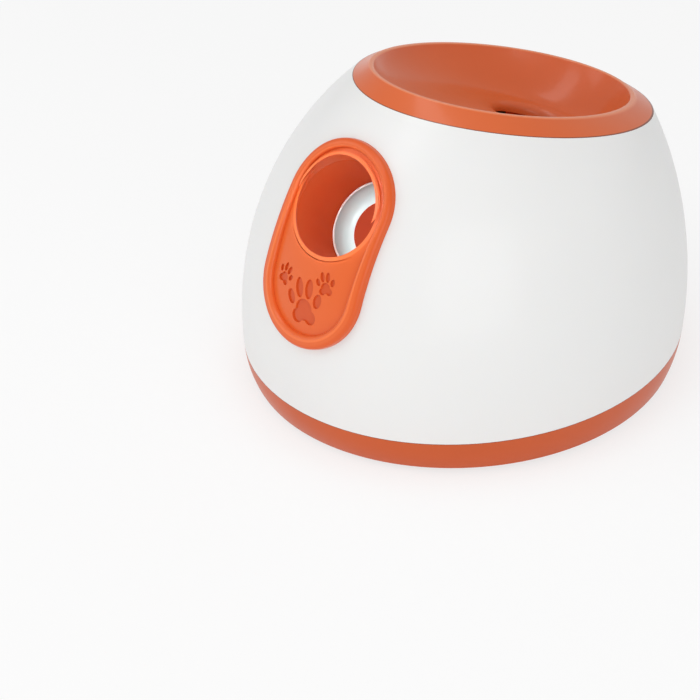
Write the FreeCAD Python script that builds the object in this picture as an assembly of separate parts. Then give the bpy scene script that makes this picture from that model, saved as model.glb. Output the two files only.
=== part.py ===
"""Automatic ball launcher for dogs: a domed case with a feed funnel on top and a sprung launch barrel inside.

Millimetres. +Z is up, the launch mouth faces -Y, and the origin is the middle of the footprint, on the floor.
"""
import FreeCAD
import Part

import math
import os
from functools import lru_cache

from FreeCAD import Placement, Rotation, Vector

# ---------------------------------------------------------------- driving dimensions
# Case form: horizontal ellipses, widest at the belly, drawn in towards the floor and the crown.
HALF_LENGTH = 150.0
HALF_WIDTH = 133.5
BELLY_Z = 40.0
RISE_LENGTH = 195.0
RISE_WIDTH = 180.0
LEAN = 8.0
LEAN_START_Z = 60.0
LEAN_SPAN = 120.0
TUCK_LENGTH = 7.0
TUCK_WIDTH = 4.0
FOOT_H = 3.0
CASE_LINE_Z = 24.0
WALL = 2.5
FLOOR_T = 3.0
LIP_H = 2.6
LIP_ROOT = 5.0
POST_R = 5.0
POST_IN = 13.5
RIB_T = 2.4
CROWN_Z = 212.0

# Planes of the case's top edge and of the funnel's lip, both higher at the front.
RIM_Z = 182.2
RIM_TILT = 13.2
LIP_Y = 28.6
LIP_RISE = 7.0
LIP_TILT = 15.2
LIP_IN_X = 12.9
LIP_IN_Y = 9.2
LIP_W = 2.5
LIP_ROUND = 1.0
LIP_BREAK = 0.8
THROAT_Y = 60.0
THROAT_Z = 142.0
THROAT_TILT = 22.0

# Ball and the passages it rolls through.
BALL_R = 25.0
THROAT_R = BALL_R + 2.5
CHUTE_R = BALL_R + 2.5
CHUTE_T = 2.0
CHUTE_SLOPE = 3.5
CHUTE_FLOOR_Z = 96.6
CHUTE_BACK_Y = THROAT_Y + 28.0
CHUTE_SIDE_H = 24.0

# Launch barrel: D is the distance along its axis from the middle of the mouth.
MOUTH_IN = 29.0
MOUTH_Z = 154.5
PITCH = 40.0
BORE_R = 29.5
BARREL_R = 32.0
COLLAR_END = 10.0
BARREL_START = 10.3
BARREL_END = 182.0
END_CAP_T = 3.0

# Striker, its spring and its rack.
STRIKER_FACE = 47.0
STROKE = 74.77
STRIKER_R = 28.9
SKIRT_L = 28.0
SKIRT_T = 2.5
DISH_R = 19.0
DISH_DEPTH = 10.0
DISH_RIM_W = 1.4
WEB_T = 3.0
WIRE_R = 1.1
SPRING_R = 15.0
SPRING_TURNS = 11
SPRING_SEAT = 178.0

# Gear train, all axles along X. The rack's module is larger than the reduction's.
RACK_MODULE = 1.5
RACK_TEETH = 17
COCKING_TEETH = 24
COCKING_D = 98.0
MODULE = 1.0
DRIVEN_TEETH = 56
PINION_TEETH = 12
SECOND_TEETH = 40
FIRST_TEETH = 42
SECOND_BEARING = -10.0
FIRST_BEARING = 15.0
MOTOR_BEARING = 0.0
PRESSURE_ANGLE = 20.0
THINNING = 0.2
FACE_W = 7.6

RUN_FIT = 0.06
LOOSE_FIT = 0.3
SEAT_FIT = 0.05

# Widths along X of the mechanism.
CHASSIS_X = 9.0
CHASSIS_T = 3.0
PLATE_X = 33.5
PLATE_T = 2.5
COVER_X = 56.0
SHAFT_R = 4.0
AXLE_R = 2.0
BUSH_R = 6.0
PILLAR_R = 3.4
MOTOR_R = 13.8
MOTOR_BOSS_R = 5.0

# Bezel round the mouth.
BEZEL_PITCH = 22.8
BEZEL_TOP_R = 38.2
BEZEL_FOOT_R = 38.4
BEZEL_DROP = 50.0
BEAD_TOP_W = 5.6
BEAD_FOOT_W = 8.0
BEAD_PROUD = 4.4
BEAD_SEAT_W = 3.7
MOUTH_RIM_W = 2.4
MOUTH_RIM_PROUD = 3.0
PANEL_PROUD = 0.5
PAW_DEPTH = 1.1

# Battery bay.
CELL_R = 13.1
CELL_L = 50.0
CELL_FIT = 0.4
BAY_HALF_X = 54.0
BAY_IN = 26.0
BAY_TOP_Z = 34.0
BAY_WALL = 2.0
DOOR_T = 2.5
DOOR_GAP = 0.4

# Rear controls.
PANEL_Z = 66.0
PANEL_HALF_X = 42.0
PANEL_HALF_Z = 17.0
PANEL_STAND = 1.2
PANEL_BACK = WALL + 2.0
BUTTON_R = 8.0
BUTTON_TRAVEL = 1.5
POWER_X = -27.0
DISTANCE_X = -3.0
JACK_X = 24.0
BOARD_IN = 24.0

# Fasteners.
SCREW_R = 1.45
PILOT_R = 1.5
CLEAR_R = 1.7
HEAD_R = 3.0
HEAD_T = 2.4

# Places that follow from the sizes above.
MOUTH_Y = MOUTH_IN - HALF_LENGTH
CHUTE_FLOOR_Y = MOUTH_Y + 114.2
CHUTE_FRONT_Y = MOUTH_Y + 62.0
BAY_BACK_Y = HALF_LENGTH - BAY_IN
BAY_FRONT_Y = BAY_BACK_Y - 6 * CELL_R - CELL_FIT
BOARD_Y = HALF_LENGTH - BOARD_IN

SPAN = 700.0
OVAL_POINTS = 16
X_AXIS = Vector(1, 0, 0)
Z_AXIS = Vector(0, 0, 1)
AXLE_WAY = Rotation(Vector(1, 1, 1), 120)
BARREL = Placement(Vector(0, MOUTH_Y, MOUTH_Z), Rotation(X_AXIS, -(90 + PITCH)))
BEZEL = Placement(Vector(0, MOUTH_Y, MOUTH_Z), Rotation(X_AXIS, 90 - BEZEL_PITCH))


# ---------------------------------------------------------------- small helpers
def box(x0, x1, y0, y1, z0, z1):
    """A box given by its limits along each axis."""
    return Part.makeBox(x1 - x0, y1 - y0, z1 - z0, Vector(x0, y0, z0))


def rod(radius, start, end):
    """A cylinder along local Z from start to end."""
    return Part.makeCylinder(radius, end - start, Vector(0, 0, start))


def ring(outer, inner, start, end):
    """A tube along local Z."""
    return rod(outer, start, end).cut(rod(inner, start - 1, end + 1))


def placed(shape, placement):
    """The shape moved by a placement."""
    copy = shape.copy()
    copy.Placement = placement.multiply(copy.Placement)
    return copy


def in_barrel(shape):
    """From the barrel's frame (X, downwards from the axis, D) to the row's."""
    return placed(shape, BARREL)


def in_bezel(shape):
    """From the bezel's frame (X, up the slope, outwards) to the row's."""
    return placed(shape, BEZEL)


def on_axle(shape, x, y, z):
    """From a frame whose Z is an axle to an axle along X through (x, y, z)."""
    return placed(shape, Placement(Vector(x, y, z), AXLE_WAY))


def upright(shape, x, y, z=0.0):
    """The shape moved to (x, y, z)."""
    return placed(shape, Placement(Vector(x, y, z), Rotation()))


def along_y(shape, x, y, z):
    """From a frame whose Z is a pin to a pin along +Y from (x, y, z)."""
    return placed(shape, Placement(Vector(x, y, z), Rotation(X_AXIS, -90)))


def joined(shapes):
    """One solid from touching or overlapping shapes."""
    first, *rest = shapes
    return first.multiFuse(rest).removeSplitter() if rest else first


def barrel_point(distance, down=0.0):
    """(y, z) in the row's frame of a point of the barrel's frame."""
    point = BARREL.multVec(Vector(0, down, distance))
    return point.y, point.z


# ---------------------------------------------------------------- case form
def half_axes(z, inset):
    """Half width and half length of the case at height z, drawn in by inset."""
    if z >= BELLY_Z:
        across = math.sqrt(1 - ((z - BELLY_Z) / (RISE_WIDTH - inset)) ** 2)
        along = math.sqrt(1 - ((z - BELLY_Z) / (RISE_LENGTH - inset)) ** 2)
        return (HALF_WIDTH - inset) * across, (HALF_LENGTH - inset) * along
    tuck = ((BELLY_Z - z) / (BELLY_Z - FOOT_H)) ** 3
    return HALF_WIDTH - inset - TUCK_WIDTH * tuck, HALF_LENGTH - inset - TUCK_LENGTH * tuck


def rim_height(y):
    """Height of the case's rim plane at y."""
    return RIM_Z - y * math.tan(math.radians(RIM_TILT))


def middle_y(z):
    """How far back the case's section lies at height z."""
    return LEAN * (max(0.0, z - LEAN_START_Z) / LEAN_SPAN) ** 2


def ellipse(half_x, half_y, y, z, tilt=0.0):
    """A closed elliptical spline about (0, y, z), its front raised by tilt, starting at its left side."""
    steps = [2 * math.pi * i / OVAL_POINTS for i in range(OVAL_POINTS)]
    points = [Vector(-half_x * math.cos(turn), half_y * math.sin(turn), 0) for turn in steps]
    curve = Part.BSplineCurve()
    knots = [i / OVAL_POINTS for i in range(OVAL_POINTS + 1)]
    curve.interpolate(Points=points, PeriodicFlag=True, Parameters=knots)
    edge = curve.toShape()
    edge.Placement = Placement(Vector(0, y, z), Rotation(X_AXIS, -tilt))
    return Part.Wire(edge)


@lru_cache(maxsize=None)
def case_form(inset, low=CASE_LINE_Z, high=CROWN_Z, steps=6):
    """The solid form of the case between two heights, drawn in by inset all over."""
    levels = [low] if low < BELLY_Z else []
    start = max(low, BELLY_Z)
    levels += [start + (high - start) * math.sin(math.pi / 2 * i / steps) for i in range(steps + 1)]
    wires = [ellipse(*half_axes(z, inset), middle_y(z), z) for z in levels]
    return Part.makeLoft(wires, True, False)


@lru_cache(maxsize=None)
def foot_form(inset, low=FOOT_H, high=CASE_LINE_Z):
    """The solid form of the case below the case line."""
    count = 4
    levels = [low + (high - low) * i / count for i in range(count + 1)]
    return Part.makeLoft([ellipse(*half_axes(z, inset), 0, z) for z in levels], True, False)


def below(y, z, tilt, drop=0.0):
    """Everything under a plane through (y, z) that is raised at the front by tilt, lowered by drop."""
    block = Part.makeBox(SPAN, SPAN, SPAN, Vector(-SPAN / 2, -SPAN / 2, -SPAN - drop))
    block.Placement = Placement(Vector(0, y, z), Rotation(X_AXIS, -tilt))
    return block


def below_rim(drop=0.0):
    return below(0, RIM_Z, RIM_TILT, drop)


# ---------------------------------------------------------------- gears
def involute(angle):
    return math.tan(angle) - angle


def gear_wire(module, teeth, start_angle, present):
    """Outline of a spur gear about the origin. The first of its present teeth is centred on start_angle,
    the rest follow anticlockwise, and any missing teeth leave a plain arc at the root circle."""
    pitch_r = module * teeth / 2
    base_r = pitch_r * math.cos(math.radians(PRESSURE_ANGLE))
    tip_r = pitch_r + module
    root_r = pitch_r - 1.25 * module
    foot_r = max(base_r, root_r + 0.05)
    half_pitch = (math.pi * module / 2 - THINNING) / 2 / pitch_r
    at_pitch = involute(math.radians(PRESSURE_ANGLE))

    def half_angle(radius):
        return half_pitch + at_pitch - involute(math.acos(min(1.0, base_r / radius)))

    def polar(radius, angle):
        return Vector(radius * math.cos(angle), radius * math.sin(angle), 0)

    radii = [foot_r + (tip_r - foot_r) * i / 3 for i in range(4)]
    step = 2 * math.pi / teeth
    edges = []
    for index in range(present):
        centre = math.radians(start_angle) + index * step
        rising = [polar(r, centre - half_angle(r)) for r in radii]
        falling = [polar(r, centre + half_angle(r)) for r in reversed(radii)]
        root_in = polar(root_r, centre - half_angle(foot_r))
        root_out = polar(root_r, centre + half_angle(foot_r))
        edges.append(Part.LineSegment(root_in, rising[0]))
        edges.append(flank(rising))
        edges.append(Part.Arc(rising[-1], polar(tip_r, centre), falling[0]))
        edges.append(flank(falling))
        edges.append(Part.LineSegment(falling[-1], root_out))
        gap = step if index < present - 1 else (teeth - present + 1) * step
        next_root = polar(root_r, centre + gap - half_angle(foot_r))
        edges.append(Part.Arc(root_out, polar(root_r, centre + gap / 2), next_root))
    return Part.Wire([edge.toShape() for edge in edges])


def flank(points):
    curve = Part.BSplineCurve()
    curve.interpolate(points)
    return curve


def gear(module, teeth, width, start_angle=0.0, present=None):
    """A spur gear along local Z, from 0 to width."""
    wire = gear_wire(module, teeth, start_angle, present or teeth)
    return Part.Face(wire).extrude(Vector(0, 0, width))


def wheel(module, teeth, width, start_angle, bore_r):
    """A gear wheel whose web is thinner than its rim and hub."""
    pitch_r = module * teeth / 2
    body = gear(module, teeth, width, start_angle)
    rim_r = pitch_r - 3.5 * module
    hub_r = bore_r + 3.0
    recess = width * 0.28
    for start in (-1.0, width - recess):
        body = body.cut(ring(rim_r, hub_r, start, start + recess + 1.0))
    hole_r = (rim_r - hub_r) * 0.32
    for index in range(5):
        angle = 2 * math.pi * index / 5
        middle = (rim_r + hub_r) / 2
        hole = upright(rod(hole_r, -1, width + 1), middle * math.cos(angle), middle * math.sin(angle))
        body = body.cut(hole)
    return body.cut(rod(bore_r, -1, width + 1))


def meshing_angle(angle, teeth, bearing, mate_teeth):
    """Start angle of the mate that meshes with a gear at start angle, seen from it along bearing."""
    turned = 180.0 - (angle - bearing) * teeth
    return (bearing + 180.0 + turned / mate_teeth) % 360.0


COCKING_R = RACK_MODULE * COCKING_TEETH / 2
RACK_PITCH = math.pi * RACK_MODULE
RACK_BACK = BARREL_R + 1.0
RACK_BAR_T = 2.0
RACK_LINE = RACK_BACK + RACK_BAR_T + 1.0 + 1.25 * RACK_MODULE
COCKING_Y, COCKING_Z = barrel_point(COCKING_D, RACK_LINE + COCKING_R)
RACK_FRONT = COCKING_D - (RACK_TEETH - 1) * RACK_PITCH - RACK_PITCH / 2
RACK_BACK_D = COCKING_D + RACK_PITCH / 2 + 1.0
RACK_BEARING = 90.0 - PITCH


def beside(y, z, bearing, teeth, mate_teeth):
    """Axis of a gear that meshes with one at (y, z), on a bearing from +Y towards +Z."""
    apart = MODULE * (teeth + mate_teeth) / 2
    way = math.radians(bearing)
    return y + apart * math.cos(way), z + apart * math.sin(way)


SECOND_Y, SECOND_Z = beside(COCKING_Y, COCKING_Z, SECOND_BEARING, DRIVEN_TEETH, PINION_TEETH)
FIRST_Y, FIRST_Z = beside(SECOND_Y, SECOND_Z, FIRST_BEARING, SECOND_TEETH, PINION_TEETH)
MOTOR_Y, MOTOR_Z = beside(FIRST_Y, FIRST_Z, MOTOR_BEARING, FIRST_TEETH, PINION_TEETH)
DRIVEN_X = 37.5
DRIVEN_W = 5.0
SECOND_X = 43.4
SECOND_W = 4.0
FIRST_X = 48.2
FIRST_W = 3.6


# ---------------------------------------------------------------- case
def case_screw_spots():
    """(x, y) of the six screws that hold the case halves together, clear of the tuck of the base's wall."""
    half_x, half_y = half_axes(CASE_LINE_Z, POST_IN)
    for angle in (22, 90, 158, 202, 270, 338):
        way = math.radians(angle)
        yield half_x * math.cos(way), half_y * math.sin(way)


def stadium(half_x, half_z, y0, y1):
    """A flat-on rounded plate about (0, PANEL_Z), from y0 to y1."""
    straight = half_x - half_z
    body = box(-straight, straight, y0, y1, PANEL_Z - half_z, PANEL_Z + half_z)
    ends = [along_y(rod(half_z, 0, y1 - y0), side * straight, y0, PANEL_Z) for side in (-1, 1)]
    return joined([body, *ends])


def upper_shell():
    """Domed white case, open at the top for the funnel, with screw posts down its wall."""
    skin = case_form(0.0).cut(case_form(WALL, CASE_LINE_Z - 1)).common(below_rim())
    posts = []
    for x, y in case_screw_spots():
        post = rod(POST_R, CASE_LINE_Z + 0.3, CASE_LINE_Z + 20)
        rib = box(0, POST_IN + 4, -RIB_T / 2, RIB_T / 2, CASE_LINE_Z + LIP_H + 0.5, CASE_LINE_Z + 19)
        way = math.degrees(math.atan2(y, x))
        posts.append(placed(post.fuse(rib), Placement(Vector(x, y, 0), Rotation(Z_AXIS, way))))
    posts = [post.common(case_form(WALL / 2)) for post in posts]
    shell = joined([skin, *posts])
    for x, y in case_screw_spots():
        shell = shell.cut(upright(rod(PILOT_R, CASE_LINE_Z - 1, CASE_LINE_Z + 18), x, y))
    shell = shell.cut(in_barrel(rod(BARREL_R + LOOSE_FIT, -60, 60)))
    shell = shell.cut(stadium(PANEL_HALF_X + LOOSE_FIT, PANEL_HALF_Z + LOOSE_FIT, 100, 180))
    return shell.cut(pear_prism(BEAD_SEAT_W, BEAD_SEAT_W))


def oval_prism(inset, low, high):
    """An upright prism on the case line's ellipse, drawn in by inset."""
    half_x, half_y = half_axes(CASE_LINE_Z, inset)
    return Part.Face(ellipse(half_x, half_y, 0, low)).extrude(Vector(0, 0, high - low))


def base_tray():
    """Orange base: skirt, floor, battery bay, screw bosses and stand-offs."""
    lip_low, lip_high = CASE_LINE_Z - LIP_ROOT, CASE_LINE_Z + LIP_H
    lip = oval_prism(WALL + 0.2, lip_low, lip_high)
    for x, y in case_screw_spots():
        lip = lip.cut(upright(rod(POST_R + 0.6, CASE_LINE_Z, CASE_LINE_Z + 9), x, y))
    skirt = foot_form(0.0).fuse(lip).cut(oval_prism(WALL + 1.6, lip_low, lip_high + 1))
    skirt = skirt.cut(foot_form(WALL + 0.3, FOOT_H + FLOOR_T, lip_low + 0.5))
    tray = skirt
    for x, y in case_screw_spots():
        tray = tray.fuse(upright(rod(POST_R + 0.4, FOOT_H, CASE_LINE_Z), x, y))
    for x, y in board_spots():
        tray = tray.fuse(upright(rod(3.4, FOOT_H, BOARD_Z), x, y))
    for x, y in chassis_spots() + gearbox_spots():
        tray = tray.fuse(upright(rod(4.0, FOOT_H, CHASSIS_FLOOR), x, y))
    bay = box(
        -BAY_HALF_X - BAY_WALL, BAY_HALF_X + BAY_WALL,
        BAY_FRONT_Y - BAY_WALL, BAY_BACK_Y + BAY_WALL,
        FOOT_H, BAY_TOP_Z + BAY_WALL,
    )
    tray = tray.fuse(bay)
    tray = tray.cut(box(-BAY_HALF_X, BAY_HALF_X, BAY_FRONT_Y, BAY_BACK_Y, FOOT_H - 1, BAY_TOP_Z))
    for x, y in case_screw_spots():
        tray = tray.cut(upright(rod(CLEAR_R, 0, CASE_LINE_Z + 1), x, y))
        tray = tray.cut(upright(rod(HEAD_R + 0.4, 0, 9.0), x, y))
    for x, y in board_spots():
        tray = tray.cut(upright(rod(PILOT_R, FOOT_H + 2, BOARD_Z + 1), x, y))
    for x, y in chassis_spots() + gearbox_spots():
        tray = tray.cut(upright(rod(PILOT_R, FOOT_H + 0.8, CHASSIS_FLOOR + 1), x, y))
    for x, y in foot_spots():
        tray = tray.cut(upright(rod(FOOT_R + 0.2, 0, FOOT_H + FOOT_POCKET), x, y))
        tray = tray.cut(upright(rod(FOOT_STUD_R + SEAT_FIT, 0, FOOT_H + FLOOR_T + 1), x, y))
    for side in (-1, 1):
        x0, x1 = sorted((side * HINGE_X, side * (BAY_HALF_X + 1)))
        tray = tray.fuse(box(x0, x1, BAY_FRONT_Y - 1, HINGE_Y + KNUCKLE_R, HINGE_Z, HINGE_Z + KNUCKLE_R))
        tray = tray.fuse(on_axle(rod(KNUCKLE_R - 0.1, x0, x1), 0, HINGE_Y, HINGE_Z))
    tray = tray.cut(on_axle(rod(HINGE_R + RUN_FIT, -BAY_HALF_X + 1, BAY_HALF_X - 1), 0, HINGE_Y, HINGE_Z))
    catch = box(-7, 7, BAY_BACK_Y - 1.2, BAY_BACK_Y + 0.5, FOOT_H + DOOR_T + 2.4, FOOT_H + DOOR_T + 4)
    return tray.fuse(catch)


# ---------------------------------------------------------------- feet
FOOT_R = 9.0
FOOT_STUD_R = 3.0
FOOT_POCKET = 1.0


def foot_spots():
    return [(-74, -92), (74, -92), (-82, 76), (82, 76)]


def rubber_feet():
    """Four soft feet, each with a stud pushed up through the floor."""
    pad = rod(FOOT_R, 0, FOOT_H + FOOT_POCKET)
    pad = pad.makeFillet(1.2, [edge for edge in pad.Edges if edge.BoundBox.ZMax < 0.01])
    foot = pad.fuse(rod(FOOT_STUD_R, FOOT_H, FOOT_H + FLOOR_T + 2.5)).removeSplitter()
    return Part.makeCompound([upright(foot, x, y) for x, y in foot_spots()])


# ---------------------------------------------------------------- funnel
THROAT_RUN = 8.0
LIP_Z = rim_height(LIP_Y) + LIP_RISE
LIP_HALF_X = half_axes(RIM_Z, 0.0)[0] - LIP_IN_X
LIP_HALF_Y = half_axes(RIM_Z, 0.0)[1] - LIP_IN_Y


def bowl_form(grow, drop):
    """The funnel's bowl from above its lip through its throat, grown by grow and lowered by drop."""
    lean = math.radians(THROAT_TILT)
    low_y, low_z = THROAT_Y - THROAT_RUN * math.sin(lean), THROAT_Z - THROAT_RUN * math.cos(lean)
    sections = [
        (LIP_HALF_X + 1.6, LIP_HALF_Y + 1.6, LIP_Y + 1.8, LIP_Z + 6.0, LIP_TILT),
        (LIP_HALF_X, LIP_HALF_Y, LIP_Y, LIP_Z, LIP_TILT),
        (LIP_HALF_X * 0.88, LIP_HALF_Y * 0.86, LIP_Y + 4.0, LIP_Z - 14.0, LIP_TILT + 1.0),
        (LIP_HALF_X * 0.66, LIP_HALF_Y * 0.60, LIP_Y + 15.0, LIP_Z - 28.0, LIP_TILT + 4.0),
        (THROAT_R, THROAT_R, THROAT_Y, THROAT_Z, THROAT_TILT),
        (THROAT_R, THROAT_R, low_y, low_z, THROAT_TILT),
    ]
    wires = [ellipse(a + grow, b + grow, y, z - drop * (i > 0), t) for i, (a, b, y, z, t) in enumerate(sections)]
    return Part.makeLoft(wires, True, False)


def rim_wire(inset):
    """Edge of the case's top opening, drawn in by inset."""
    cut = case_form(inset).common(below_rim())
    face = max((f for f in cut.Faces if f.BoundBox.ZMax > 190 and f.BoundBox.ZMin > 140), key=lambda f: f.Area)
    return face.OuterWire


def throat_rod(radius, low, high):
    """A cylinder square to the throat's plane."""
    way = Placement(Vector(0, THROAT_Y, THROAT_Z), Rotation(X_AXIS, -THROAT_TILT))
    return placed(rod(radius, low, high), way)


def lip_edges(shape, half_x, half_y):
    """The edges of the lip whose half sizes are close to the given ellipse."""
    found = []
    for edge in shape.Edges:
        bounds = edge.BoundBox
        wide = abs(bounds.XLength / 2 - half_x) < 1.0
        long = abs(bounds.YLength / 2 - half_y * math.cos(math.radians(LIP_TILT))) < 1.0
        if wide and long and bounds.ZMax > LIP_Z + 10:
            found.append(edge)
    return found


def funnel():
    """Feed funnel: sloping band on the case, thin rounded lip, bowl and throat, with a tongue in the case."""
    outer = Part.makeLoft([
        rim_wire(0.0),
        ellipse(LIP_HALF_X + LIP_W, LIP_HALF_Y + LIP_W, LIP_Y, LIP_Z, LIP_TILT),
    ], True, False)
    inner = Part.makeLoft([
        rim_wire(WALL + 2.2),
        ellipse(LIP_HALF_X - 2.0, LIP_HALF_Y - 2.0, LIP_Y, LIP_Z - 3.5, LIP_TILT),
    ], True, False)
    tongue = case_form(WALL + 0.2).cut(case_form(WALL + 2.2)).common(below_rim()).cut(below_rim(4.0))
    cup = bowl_form(WALL, WALL).common(below(LIP_Y, LIP_Z, LIP_TILT, 1.0)).common(throat_rod(SPAN, -WALL, SPAN))
    body = outer.cut(inner).fuse(cup).cut(bowl_form(0.0, 0.0))
    body = body.fuse(tongue).removeSplitter()
    body = body.makeFillet(LIP_BREAK, lip_edges(body, LIP_HALF_X + LIP_W, LIP_HALF_Y + LIP_W))
    return body.makeFillet(LIP_ROUND, lip_edges(body, LIP_HALF_X, LIP_HALF_Y))


# ---------------------------------------------------------------- bezel
HOOK_ROWS = (-14.0, -52.0)
HOOK_HALF_W = 4.0
HOOK_T = 2.0


def pear_wire(top_inset, foot_inset):
    """The bezel's outline: two lobes joined by tangents, each drawn in by its inset."""
    top_r = BEZEL_TOP_R - top_inset
    foot_r = BEZEL_FOOT_R - foot_inset
    lean = math.asin((top_r - foot_r) / BEZEL_DROP)
    way = Vector(math.cos(lean), -math.sin(lean), 0)
    back = Vector(-way.x, way.y, 0)
    foot = Vector(0, -BEZEL_DROP, 0)
    right_top, left_top = way * top_r, back * top_r
    right_foot, left_foot = foot + way * foot_r, foot + back * foot_r
    edges = [
        Part.Arc(right_top, Vector(0, top_r, 0), left_top),
        Part.LineSegment(left_top, left_foot),
        Part.Arc(left_foot, Vector(0, -BEZEL_DROP - foot_r, 0), right_foot),
        Part.LineSegment(right_foot, right_top),
    ]
    return Part.Wire([edge.toShape() for edge in edges])


def pear_prism(top_inset, foot_inset):
    face = Part.Face(pear_wire(top_inset, foot_inset))
    face.translate(Vector(0, 0, -40))
    return in_bezel(face.extrude(Vector(0, 0, 80)))


def bezel_hooks():
    """Snap hooks at the sides of the bezel's plate, which grip the case's wall from behind."""
    edge = min(BEZEL_TOP_R, BEZEL_FOOT_R) - BEAD_SEAT_W - LOOSE_FIT - 0.4
    behind = case_form(WALL + LOOSE_FIT).cut(case_form(WALL + LOOSE_FIT + HOOK_T))
    through = case_form(WALL / 2).cut(case_form(WALL + LOOSE_FIT + HOOK_T))
    for side in (-1, 1):
        for up in HOOK_ROWS:
            x0, x1 = sorted((side * (edge - 3.0), side * edge))
            yield in_bezel(box(x0, x1, up - HOOK_HALF_W, up + HOOK_HALF_W, -40, 10)).common(through)
            x0, x1 = sorted((side * (edge - 3.0), side * (edge + 3.0)))
            yield in_bezel(box(x0, x1, up - HOOK_HALF_W, up + HOOK_HALF_W, -40, 10)).common(behind)


def paw(x, up, size, turn):
    """The outline solids of one paw print: a two-lobed pad and four toes, the middle two longer."""
    toes = ((0.43, 0.27, 0.12, 0.19, 20), (0.16, 0.53, 0.125, 0.25, 6))
    solids = []
    for side in (-1, 1):
        for toe_x, toe_up, half_w, half_l, lean in toes:
            toe = Part.Face(Part.Wire(Part.Ellipse(Vector(), half_l * size, half_w * size).toShape()))
            toe.Placement = Placement(Vector(side * toe_x * size, toe_up * size, 0), Rotation(Z_AXIS, 90 - side * lean))
            solids.append(toe.extrude(Vector(0, 0, 80)))
    pad = rod(0.27 * size, 0, 80)
    heels = [upright(rod(0.18 * size, 0, 80), side * 0.2 * size, -0.17 * size) for side in (-1, 1)]
    solids.append(joined([pad, *heels]))
    whole = Part.makeCompound(solids)
    return in_bezel(placed(whole, Placement(Vector(x, up, -40), Rotation(Z_AXIS, turn))))


PAWS = ((1.5, -65.5, 24.0, 12.0), (-19.5, -53.0, 11.5, -18.0), (13.8, -47.2, 12.0, 18.0))


def front_edges(shape):
    """The edges round the curved front face of a solid cut to the case's form."""
    skins = [face for face in shape.Faces if not isinstance(face.Surface, (Part.Plane, Part.Cylinder))]
    edges = [edge for skin in skins for edge in skin.Edges if skin.CenterOfMass.y < 0]
    return [edge for i, edge in enumerate(edges) if not any(edge.isSame(other) for other in edges[:i])]


def outlet_bezel():
    """Pear-shaped surround: rounded bead on the case, sunk panel with paw prints, rim and collar at the mouth."""
    inner = BEAD_SEAT_W + LOOSE_FIT
    plate = pear_prism(inner, inner).common(case_form(-PANEL_PROUD)).cut(case_form(WALL))
    bead = pear_prism(0.0, 0.0).cut(pear_prism(BEAD_TOP_W, BEAD_FOOT_W)).common(case_form(-BEAD_PROUD))
    bead = bead.makeFillet(BEAD_TOP_W / 2 - 0.3, [edge for edge in front_edges(bead) if edge.CenterOfMass.y < -60])
    rim_r = BORE_R + MOUTH_RIM_W
    rim = in_barrel(rod(rim_r, -45, 5)).common(case_form(0.6 - MOUTH_RIM_PROUD))
    crest = in_barrel(rod(rim_r - 0.7, -45, 5)).common(case_form(-MOUTH_RIM_PROUD))
    body = joined([plate, bead.cut(case_form(-0.1)), rim.cut(case_form(-0.1)), crest.cut(case_form(-0.1))])
    collar = in_barrel(rod(BARREL_R, -4, COLLAR_END)).common(case_form(WALL / 2))
    body = joined([body, collar, *bezel_hooks()]).cut(in_barrel(rod(BORE_R, -60, COLLAR_END + 1)))
    body = body.cut(in_barrel(rod(BARREL_R + LOOSE_FIT, COLLAR_END, 60)))
    print_floor = case_form(PAW_DEPTH - PANEL_PROUD)
    for spot in PAWS:
        body = body.cut(paw(*spot).cut(print_floor))
    return body


# ---------------------------------------------------------------- barrel and chute
def chute_axis(y):
    """Height of the chute's axis at y."""
    floor = CHUTE_FLOOR_Z + math.tan(math.radians(CHUTE_SLOPE)) * (y - CHUTE_FLOOR_Y)
    return floor + CHUTE_R


def trough(radius, side_h, front, back):
    """A U-section solid along the chute, from front to back in Y."""
    half_pipe = [
        Part.Arc(Vector(-radius, 0, 0), Vector(0, -radius, 0), Vector(radius, 0, 0)),
        Part.LineSegment(Vector(radius, 0, 0), Vector(radius, side_h, 0)),
        Part.LineSegment(Vector(radius, side_h, 0), Vector(-radius, side_h, 0)),
        Part.LineSegment(Vector(-radius, side_h, 0), Vector(-radius, 0, 0)),
    ]
    face = Part.Face(Part.Wire([edge.toShape() for edge in half_pipe]))
    length = (back - front) / math.cos(math.radians(CHUTE_SLOPE))
    body = face.extrude(Vector(0, 0, -length))
    return placed(body, Placement(Vector(0, front, chute_axis(front)), Rotation(X_AXIS, 90 + CHUTE_SLOPE)))


GATE_Y = 5.0
GATE_Z = 155.0
GATE_R = 2.5
LEVER_Y = 50.0
LEVER_Z = chute_axis(LEVER_Y) - CHUTE_R - CHUTE_T - 3.2
LEVER_PIN_R = 1.5


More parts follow.
